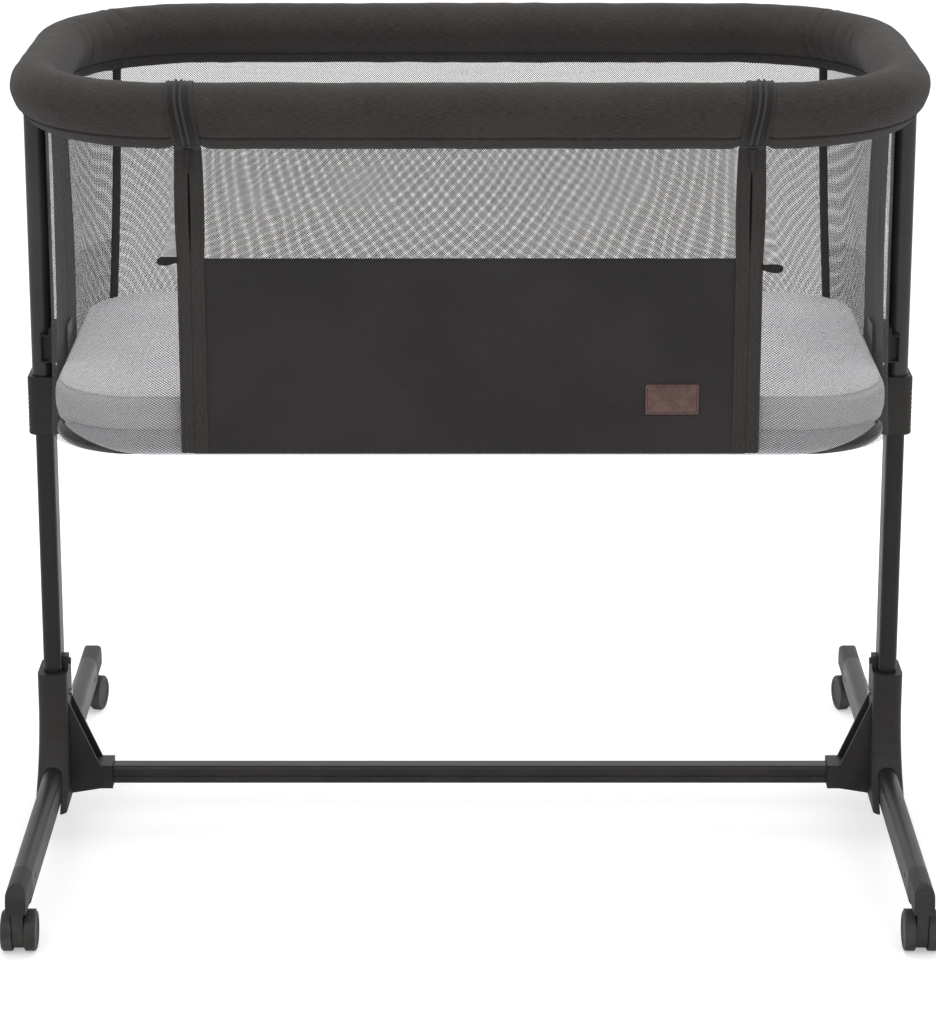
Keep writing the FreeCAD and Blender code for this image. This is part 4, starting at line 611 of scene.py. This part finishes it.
def wall_between(name, material, first, last):
    """The wall over a stretch of the basket's outline, from one turn to another. u is 0 at the
    middle of the end, or of the rear."""
    turns, _ = even_turns(first, last, 0.005, *foot_outline)
    x_foot, y_foot, _, _ = basket_outline(*foot_outline, turns)
    x_head, y_head, _, _ = basket_outline(*head_outline, turns)
    run = run_along((x_foot + x_head) / 2, (y_foot + y_head) / 2)
    zero = run[-1] / 2 if last - first == 3 else np.interp(2.5 if first < 3 else 7.5, turns, run)
    return basket_wall(name, material, x_foot, y_foot, x_head, y_head, foot_level, head_level,
                       56, 0.003, zero, 1 if first < 4 else -1)


end_net = net_finish("end_net", hole=0.375, strip=0.078, band=0.121)
rear_net = net_finish("rear_net", pitch=0.00235)
for name, net, first, last, node_name in (
        ("end_net_right", end_net, 0.004, 3.5, "end_wall_right"),
        ("end_net_left", end_net, 6.5, 9.996, "end_wall_left"),
        ("rear_net", rear_net, 3.5, 6.5, "rear_wall")):
    wall, flat = wall_between(name, net, first, last)
    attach(wall, "basket")
    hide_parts(node_name)


# ---- Seam tapes of the rear corners ----
# An 11 mm woven binding sewn over each rear corner seam of the walls, from the rim's hem down
# to the base frame.

tape_cloth = woven_finish("tape_cloth", (32, 31, 30), (48, 46, 44), (56, 53, 50), 0.0006, 0.004,
                          0.0002, 0.8)
tape_half = 0.0055


def thicken(piece, thickness, offset=0):
    """Gives a sheet its thickness, half to each side, or all behind it with offset -1."""
    solid = piece.modifiers.new("thickness", "SOLIDIFY")
    solid.thickness = thickness
    solid.offset = offset


for side, turn in zip(("right", "left"), rear_corners):
    x_foot, y_foot, out_x, out_y = basket_outline(*foot_outline, turn)
    x_head, y_head, _, _ = basket_outline(*head_outline, turn)
    share = np.linspace(0, 1, 60)[:, None]
    inside = 0.003 * np.sin(np.pi * share) + 0.0012
    wide = np.linspace(-tape_half, tape_half, 5)[None]
    domed = 0.0004 * (1 - (wide / tape_half) ** 2)
    x = x_foot + (x_head - x_foot) * share - out_x * (inside + domed) - out_y * wide
    y = y_foot + (y_head - y_foot) * share - out_y * (inside + domed) + out_x * wide
    z = foot_level + (head_level - foot_level) * share
    tape = cloth_grid("corner_tape_" + side, lattice(x, y, z),
                      lattice(wide + tape_half, z - foot_level), tape_cloth)
    thicken(tape, 0.0006)
    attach(tape, "basket")


# ---- Drop side between the zips ----
# Net above and a darker knitted spacer cloth below, joined by a welt. The spacer cloth has fine
# diamond cells and slight upright pulls.

seam_level = 0.671
side_net = net_finish("side_net")


def side_panel(name, material, low, high, rows):
    """A panel of the drop side, nearly flat between the front's foot and head lines."""
    x = np.linspace(-inner_x, inner_x, 110)
    return basket_wall(name, material, x, 0 * x - foot_outline[1], x, 0 * x - head_outline[1],
                       low, high, rows, 0.001, inner_x)


panel, flat = side_panel("side_net_panel", side_net, seam_level, head_level, 28)
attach(panel, "front_side")
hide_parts("front_mesh_panel")


def knit_finish(name, tones, share, pitch, scale, low, strength, depth, roughness, gloss,
                sheen):
    """Knitted cloth: dark and light patches, with the walls of its small diamond cells raised
    and tinted by a share of the third tone."""
    material, tree, shader = plain_finish(name, roughness, gloss, Sheen_Weight=sheen)
    place = cloth_place(tree)
    dark, light, wall = (colour(*tone) for tone in tones)
    cells = effect(tree, open_net, Place=place, Pitch=pitch, Hole=0.3)
    base = tint(tree, ease(tree, noise(tree, place, scale, 3.0), low, 1 - low), dark, light)
    base = tint(tree, maths(tree, "MULTIPLY", cells["Height"], share), base, wall)
    surface(tree, shader, base, cells["Height"], strength, depth)
    return material


spacer_cloth = knit_finish("spacer_cloth", [(40, 37, 38), (48, 45, 46), (62, 59, 59)],
                           share=0.7, pitch=0.0034, scale=7.0, low=0.35, strength=0.8,
                           depth=0.0004, roughness=0.8, gloss=0.14, sheen=0.12)
panel, flat = side_panel("side_spacer_panel", spacer_cloth, foot_level, seam_level, 40)
thicken(panel, 0.0014)
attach(panel, "front_side")
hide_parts("front_lower_panel")


# ---- Zips ----
# Reversed coil zips: each side is a woven tape folded over its coil, sewn up the wall and on
# over the padded rim. The closed folds meet in a fine slit, with a near-black strip behind it
# as painted shade.

zip_cloth = woven_finish("zip_cloth", (48, 46, 45), (66, 63, 61), (70, 66, 63), 0.0005, 0.003,
                         0.0002, 0.78)
coil_cloth = woven_finish("coil_cloth", (30, 29, 28), (42, 40, 39), (46, 44, 42), 0.0005, 0.002,
                          0.0002, 0.6)
# The coil's ridge is painted lighter than the tape, as a painted highlight on its teeth, and the
# tape's stitched border is lighter too.
tree = coil_cloth.node_tree
shader = tree.nodes["Principled BSDF"]
sideways = add_node(tree, "SeparateXYZ", Vector=cloth_place(tree)).outputs[0]
ridge = maths(tree, "MULTIPLY", ease(tree, sideways, 0.0014, 0.0023),
              ease(tree, sideways, 0.0030, 0.0038, 1.0, 0.0))
border = ease(tree, sideways, 0.0096, 0.0106, 0.0, 0.35)
base = tint(tree, maths(tree, "MAXIMUM", ridge, border),
            shader.inputs["Base Color"].links[0].from_socket, colour(64, 62, 60))
tree.links.new(base, shader.inputs["Base Color"])
# A near-black cloth for the strip behind each slit: painted shade of the gap.
slit_shade_cloth = woven_finish("slit_shade_cloth", (12, 12, 12), (20, 19, 19), (20, 19, 18), 0.0005, 0.003,
                          0.0002, 0.9)


def front_depth(level):
    """Where the front wall is at a level, as y."""
    up = (level - foot_level) / (head_level - foot_level)
    return -(foot_outline[1] + (head_outline[1] - foot_outline[1]) * up)


def front_profile(lift):
    """The line that the zip follows, as depth and height: up the wall, out below the hem, then
    round the front of the roll and over its top, lift off the cloth."""
    level = np.linspace(foot_level, 0.7785, 60)
    wall = lattice(front_depth(level) - lift, level)
    belly = [(2, -36.8), (7.2, -33.6), (11.6, -29.4), (14.6, -25.6), (18.6, -20.6),
             (22.2, -14.6), (25.2, -7.2), (26.0, 0), (24.2, 9.5), (18.4, 18.4), (9.5, 24.2),
             (0, 25.9), (-9.5, 24.2), (-18.2, 18.2)]
    belly = np.array(belly) / 1000
    belly[:, 1] += zip_room(zip_x, -rim_half_depth, belly[:, 1])
    away = belly / np.hypot(*belly.T)[:, None]
    belly = belly + away * (lift + 0.0004)
    over = lattice(-rim_half_depth - belly[:, 0], rim_level + belly[:, 1])
    rough = np.concatenate([wall, over]).T
    run = run_along(*rough)
    fine = np.linspace(0, run[-1], 1000)
    soft = np.ones(21) / 21
    line = [np.convolve(np.pad(np.interp(fine, run, part), 10, mode="edge"), soft, mode="valid")
            for part in rough]
    return lattice(*line), fine


# The coil part begins coil_start along that line, under the hem, and is at its full height
# 20 mm further on, where the swinging pull is clear of it.
coil_start = 0.3155


def zip_tape(name, side, sense, coil):
    """One side of a zip: on the wall a fold that covers the coil, over the rim (coil) the open
    tape with its ridge of teeth, 1.2 mm apart, and a stitched border. sense is 1 away from the
    drop side and -1 on it. The wall's folds part by up to 1.3 mm below the slider."""
    line, along = front_profile(0.0009)
    # The section of the tape: mm from the zip line, and mm above the cloth. The fold's line is
    # every fifth of the profile's points, up to the hem.
    if coil:
        line, along = line[along > coil_start], along[along > coil_start]
        across = np.array([0.2, 0.3, 0.8, 1.3, 1.7, 2.2, 2.7, 3.2, 3.6, 4.1, 5.4, 7.2, 7.7, 8.1,
                           8.5, 9.0, 9.8, 11.2, 12.2, 12.6])
        lift = np.array([-0.3, 0.3, 0.5, 0.6, 1.1, 1.8, 2.0, 1.7, 1.1, 0.42, 0.4, 0.42, 0.2,
                         0.08, 0.2, 0.5, 0.62, 0.6, 0.45, -0.3])
    else:
        line, along = line[:755:5], along[:755:5]
        across = np.array([0.25, 0.3, 0.7, 1.4, 2.2, 2.8, 3.4, 5.0, 7.5, 9.4, 9.8, 10.2, 11.6,
                           12.4, 12.7])
        lift = np.array([-0.3, 0.5, 1.15, 1.4, 1.2, 0.8, 0.6, 0.5, 0.45, 0.45, 0.15, 0.45, 0.5,
                         0.4, -0.3])
    across, lift = across / 1000, lift[None] / 1000 + 0 * line[:, :1]
    if coil:
        teeth = 0.00028 * np.cos(2 * np.pi * along / 0.0012)[:, None]
        lift = lift + teeth * np.exp(-((across[None] - 0.0026) / 0.0008) ** 2)
        lift = lift * (0.2 + 0.8 * np.clip((along[:, None] - 0.322) / 0.014, 0, 1))
    slope = np.gradient(line, axis=0)
    facing = lattice(-slope[:, 1], slope[:, 0]) / np.hypot(*slope.T)[:, None]
    y = line[:, :1] + facing[:, :1] * lift
    z = line[:, 1:] + facing[:, 1:] * lift
    parted = 0 if coil else 0.0013 * np.sin(np.pi * np.clip((z - 0.668) / 0.108, 0, 1))
    x = side * (inner_x + sense * (across[None] + parted)) + 0 * y
    tape = cloth_grid(name, lattice(x + zip_lean(x, y, z), y, z),
                      lattice(across[None], along[:, None]), coil_cloth if coil else zip_cloth,
                      flip=side * sense > 0)
    thicken(tape, 0.0005, -1)
    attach(tape, "basket" if sense > 0 else "front_side")
    return tape


for side_name, side in (("right", 1), ("left", -1)):
    for place, sense in (("outer", 1), ("inner", -1)):
        tape = zip_tape(f"zip_side_{place}_{side_name}", side, sense, False)
        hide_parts(f"zip_tape_{place}_{side_name}")
        zip_tape(f"zip_coil_{place}_{side_name}", side, sense, True)
    # A near-black strip just inside the wall behind each zip: painted shade seen through the slit
    # between the folds.
    level = np.linspace(foot_level + 0.001, 0.780, 50)[:, None]
    across = np.linspace(-0.006, 0.010, 5)[None]
    points = lattice(side * (outer_x + across), front_depth(level) + 0.0022, level)
    shade_strip = cloth_grid("zip_slit_shade_" + side_name, points, lattice(across, level), slit_shade_cloth,
                       flip=side < 0)
    thicken(shade_strip, 0.0005)
    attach(shade_strip, "basket")
zip_metal = hard_finish("zip_metal", (34, 33, 32), (48, 46, 45), 0.3, 0.5, 0.0008, 0.00005,
                        rub=(150, 146, 140), Metallic=0.5)
dress(zip_metal, *pair("zip_slider", "zip_pull"))


# ---- Tie loops at the zips ----
# Short loops of folded black webbing, sewn under the outer edge of each zip tape. Each narrows
# to a round end and stands a little off the net.

loop_length, loop_half = 0.0205, 0.0042
for side_name, side, level in (("left", -1, 0.6705), ("right", 1, 0.663)):
    along = np.linspace(0, 1, 24)[:, None]
    across = np.linspace(-1, 1, 7)[None]
    taper = np.sqrt(np.clip(1 - np.clip((along - 0.72) / 0.3, 0, 1) ** 2, 0.02, 1))
    taper = taper * (0.6 + 0.4 * np.clip(along / 0.5, 0, 1))
    points = lattice(side * (0.2795 + loop_length * along),
                     -0.2249 - 0.0022 * np.sin(np.pi * along) ** 2,
                     level + loop_half * across * taper - 0.0015 * along)
    wear = lattice(across * loop_half, along * loop_length)
    loop = cloth_grid("tie_loop_" + side_name, points, wear, tape_cloth, flip=side < 0)
    thicken(loop, 0.0016)
    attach(loop, "basket")


# ---- Patch on the drop side ----
# A bare brown leather patch with rounded corners, sewn on with a row of dashed stitches.

leather, tree, shader = plain_finish("leather", 0.55, 0.3)
place = add_node(tree, "TexCoord").outputs["Object"]
pebbles = add_node(tree, "TexVoronoi", {"feature": "SMOOTH_F1"}, Vector=place,
                   Scale=900.0).outputs[0]
patches = ease(tree, noise(tree, place, 120.0, 4.0), 0.35, 0.65)
base = tint(tree, patches, colour(90, 68, 64), colour(104, 80, 75))
base = tint(tree, ease(tree, pebbles, 0.35, 0.75, 0.0, 0.5), base, colour(58, 42, 40))
surface(tree, shader, base, pebbles, 0.5, 0.0002).invert = True
patch_low, patch_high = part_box("leather_patch")
patch_middle = (patch_low + patch_high) / 2
patch_half = (patch_high - patch_low) / 2


def patch_ring(inset):
    """The patch's outline drawn in by inset: a rounded rectangle with 2 mm corners."""
    corner = max(0.0020 - inset, 0.0004)
    quarter, step = np.divmod(np.arange(36), 9)
    angle = quarter * np.pi / 2 + step * np.pi / 16
    reach_x, reach_z = patch_half.x - inset - corner, patch_half.z - inset - corner
    east = np.where(quarter % 3 == 0, 1, -1)
    north = np.where(quarter < 2, 1, -1)
    return (patch_middle.x + east * reach_x + corner * np.cos(angle),
            patch_middle.z + north * reach_z + corner * np.sin(angle))


def joined(rows):
    """A grid with its first column again at the end, for the UV of a closed ring."""
    return np.append(rows, rows[:, :1], 1)


insets = np.array([0, 0, 0.25, 0.6, 1.0, 1.7, 2.1, 2.5, 3.2, 5.0, 9.0, 14.0]) / 1000
rise = np.array([0, 0.7, 1.1, 1.25, 1.25, 1.1, 0.85, 1.1, 1.25, 1.28, 1.3, 1.3])[:, None] / 1000
x, z = (np.stack(rows) for rows in zip(*(patch_ring(inset) for inset in insets)))
y = patch_high.y - rise + 0 * x
x, z, y = (np.append(rows, rows[-1:] * 0 + rows[-1:].mean(), 0) for rows in (x, z, y))
patch = cloth_grid("patch", lattice(x, y, z), lattice(joined(x), joined(z)), leather)
x, z = patch_ring(0.0021)
x, z = np.append(x, x[0]), np.append(z, z[0])
run = run_along(x, z)
spots = np.linspace(0, run[-1], 57)[:-1]
places, ahead = (lattice(np.interp(spots + step, run, x), patch_high.y - 0.00105,
                         np.interp(spots + step, run, z)) for step in (0, 0.0003))
facings = np.tile([0.0, -1.0, 0.0], (len(spots), 1))
patch_stitches = stitch_row("patch_stitches", places, ahead - places + (1e-9, 0, 0), facings,
                            0.0018, 0.0006, thread)
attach(patch_stitches, "front_side")
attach(patch, "front_side")
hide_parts("leather_patch")


# ---- Mattress ----
# A firm foam pad in a pale fitted cover with rounded corners, a crowned top and a fine piped
# edge, laid on the board.

mattress_cloth = knit_finish(
    "mattress_cloth", [(243, 243, 247), (250, 250, 252), (228, 228, 234)], share=0.2,
    pitch=0.0026, scale=6.0, low=0.3, strength=0.3, depth=0.00006, roughness=0.9, gloss=0.15,
    sheen=0.15)
pad_low, pad_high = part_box("mattress")


def closed_outline(half_length, half_depth, corner, spacing, front):
    """x and y all the way round an outline, with front points between the zips."""
    turn, _ = even_turns(0, 10, spacing, half_length, half_depth, corner)
    x, y, _, _ = basket_outline(half_length, half_depth, corner, turn)
    front_x = np.linspace(-outer_x, outer_x, front + 2)[1:-1]
    return np.append(x, front_x)[None], np.append(y, 0 * front_x - half_depth)[None]


# From the middle of the underside out, up the side with its two piped edges, and over the
# crown to the middle of the top: share of the way inward, and height in mm.
pad_section = [(1, 0), (0.6, 0), (0.2, 0), (0.06, 0), (0.03, 0.2), (0.014, 1.2), (0.005, 3.4),
               (0.009, 5.2), (0.004, 7), (0.001, 12), (0, 20), (0.001, 28), (0.004, 33),
               (0.009, 36), (0.013, 37.4), (0.012, 39.4), (0.018, 40.4), (0.026, 40.6),
               (0.04, 41.6), (0.07, 43.0), (0.13, 44.6), (0.25, 45.9), (0.45, 46.6),
               (0.7, 46.9), (1, 47)]
inset, rise = smooth_curve(pad_section, 110).T
inset, rise = np.clip(inset, 0, 1)[:, None], rise[:, None] / 1000
x, y = (part * (1 - inset) for part in closed_outline(pad_high.x + 0.001, pad_high.y + 0.001,
                                                      0.084, 0.006, 90))
soft = np.clip((rise - 0.030) / 0.012, 0, 1)
z = pad_low.z + rise - 0.0014 * (1 + unevenness(x, y, 0.2, 11)) * soft * np.clip(
    inset * 12, 0, 1)
wear = lattice(joined(x), joined(y) + rise)
mattress = cloth_grid("mattress_pad", lattice(x, y, z), wear, mattress_cloth)
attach(mattress, "basket")
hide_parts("mattress")


# ---- Base board ----
# A sheet of dark hardboard under the mattress, with a fine fibre pattern.

board = hard_finish("board", (46, 43, 40), (58, 54, 50), 0.7, 0.2, 0.0006, 0.0001,
                    along=(500.0, 40.0, 40.0), dust=0.0)
dress(board, "base_board")


# ---- Base cloth ----
# Pale cloth under the board, drawn tight to the base frame, with a band along the front and the
# rear that covers tube and board up to the mattress. Its lower edge rises round the corners,
# where the bare tube shows.

base_cloth = woven_finish("base_cloth", (222, 222, 227), (240, 240, 243), (232, 232, 236), 0.0006,
                          0.004, 0.00015, 0.85)
ring_low, ring_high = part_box("base_frame_tube")
band_section = np.array([(0.9, 17), (1.0, 10), (1.3, 3), (1.5, 0), (1.3, -3), (0.6, -5),
                         (-0.6, -6.4)]) / 1000
out, rise = smooth_curve(band_section, 30).T
ring_level = (ring_low.z + ring_high.z) / 2
ring_outline = (ring_high.x, ring_high.y, 0.0845)
side_turns, _ = even_turns(0, 1.62, 0.005, *ring_outline)
side_x, side_y, side_out_x, side_out_y = basket_outline(*ring_outline, side_turns)
middle = np.linspace(-outer_x, outer_x, 108)[1:-1]
x, y, out_x, out_y = (np.concatenate([sign * rows[::-1], between, rows])
                      for sign, rows, between in ((-1, side_x, middle),
                                                  (1, side_y, 0 * middle - ring_high.y),
                                                  (-1, side_out_x, 0 * middle),
                                                  (1, side_out_y, 0 * middle - 1)))
along = run_along(x, y)
straight, half_run = 0.315, along[-1] / 2
for name, sense in (("base_wrap_front", 1), ("base_wrap_rear", -1)):
    reach = out[:, None] + 0.00015 * unevenness(along[None], rise[:, None], 0.03, 12)
    rising = np.clip((np.abs(along - half_run) - straight) / (half_run - straight), 0, 1)
    level = rise[0] + (rise[:, None] - rise[0]) * (1 - 0.85 * rising[None] ** 1.5)
    points = lattice(x[None] + reach * out_x[None], sense * (y[None] + reach * out_y[None]),
                     ring_level + level)
    wrap = cloth_grid(name, points, lattice(along[None], rise[:, None]), base_cloth,
                      flip=sense > 0)
    thicken(wrap, 0.0006)
    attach(wrap, "basket")
inset, tube = np.linspace(0, 1, 24)[:, None] ** 1.3, 0.017
x, y = (part * (1 - inset) for part in closed_outline(*(size - tube for size in ring_outline),
                                                      0.01, 54))
z = ring_level - 0.0070 - 0.0012 * np.sin(np.pi * inset / 2) + 0.0003 * unevenness(x, y, 0.09, 13)
under = cloth_grid("base_underside", lattice(x, y, z), lattice(joined(x), joined(y)),
                   base_cloth, flip=True)
thicken(under, 0.0006)
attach(under, "basket")


# ---- Studio ----
# A white floor and surround with soft light from above and in front, and the camera where the
# photographer stood.

far = 30
floor_mesh = bpy.data.meshes.new("floor")
floor_mesh.from_pydata([(-far, -far, 0), (far, -far, 0), (far, far, 0), (-far, far, 0)], [],
                       [(0, 1, 2, 3)])
paper, tree, shader = plain_finish("paper", 0.9, 0.1, Base_Color=(0.92, 0.92, 0.92, 1),
                                   Emission_Color=(1, 1, 1, 1))
seen = add_node(tree, "LightPath").outputs["Is Camera Ray"]
tree.links.new(maths(tree, "MULTIPLY", seen, 0.38), shader.inputs["Emission Strength"])
new_piece(floor_mesh, paper)

world = bpy.data.worlds.new("studio")
bpy.context.scene.world = world
world.use_nodes = True
tree = world.node_tree
tree.nodes.clear()
rays = add_node(tree, "LightPath").outputs
seen = maths(tree, "MAXIMUM", rays["Is Camera Ray"], maths(
    tree, "MAXIMUM", rays["Is Glossy Ray"], rays["Is Transmission Ray"]))
strength = ease(tree, seen, 0.0, 1.0, 0.78, 1.0)
glow = add_node(tree, "Background", Color=(1, 1, 1, 1), Strength=strength)
tree.links.new(glow.outputs[0], add_node(tree, "OutputWorld").inputs["Surface"])


def soft_lamp(name, place, size, power):
    """A square soft light at place, turned towards the middle of the crib."""
    lamp = bpy.data.lights.new(name, "AREA")
    lamp.shape = "SQUARE"
    lamp.size = size
    lamp.energy = power
    stand = new_object(lamp)
    stand.location = place
    way = Vector((0, 0, 0.5)) - Vector(place)
    stand.rotation_euler = way.to_track_quat("-Z", "Y").to_euler()


soft_lamp("key_light", (-1.2, -2.8, 2.9), 1.8, 15)
soft_lamp("fill_light", (1.8, -2.6, 2.0), 2.0, 10)
soft_lamp("back_light", (0.4, 2.4, 2.6), 1.8, 8)
soft_lamp("top_light", (0.0, 0.1, 2.5), 0.9, 16)

# The camera is fitted to the photograph's rim, basket, cross bar and wheels.
camera_data = bpy.data.cameras.new("camera")
camera_data.lens = 118.25
camera_data.shift_x = -0.002
camera_data.shift_y = -0.16
camera_data.clip_end = 100
camera = new_object(camera_data)
camera.location = (0, -3.3586, 1.4248)
camera.rotation_euler = (np.radians(74.96), 0, 0)
bpy.context.scene.camera = camera
bpy.context.scene.view_settings.view_transform = "Standard"
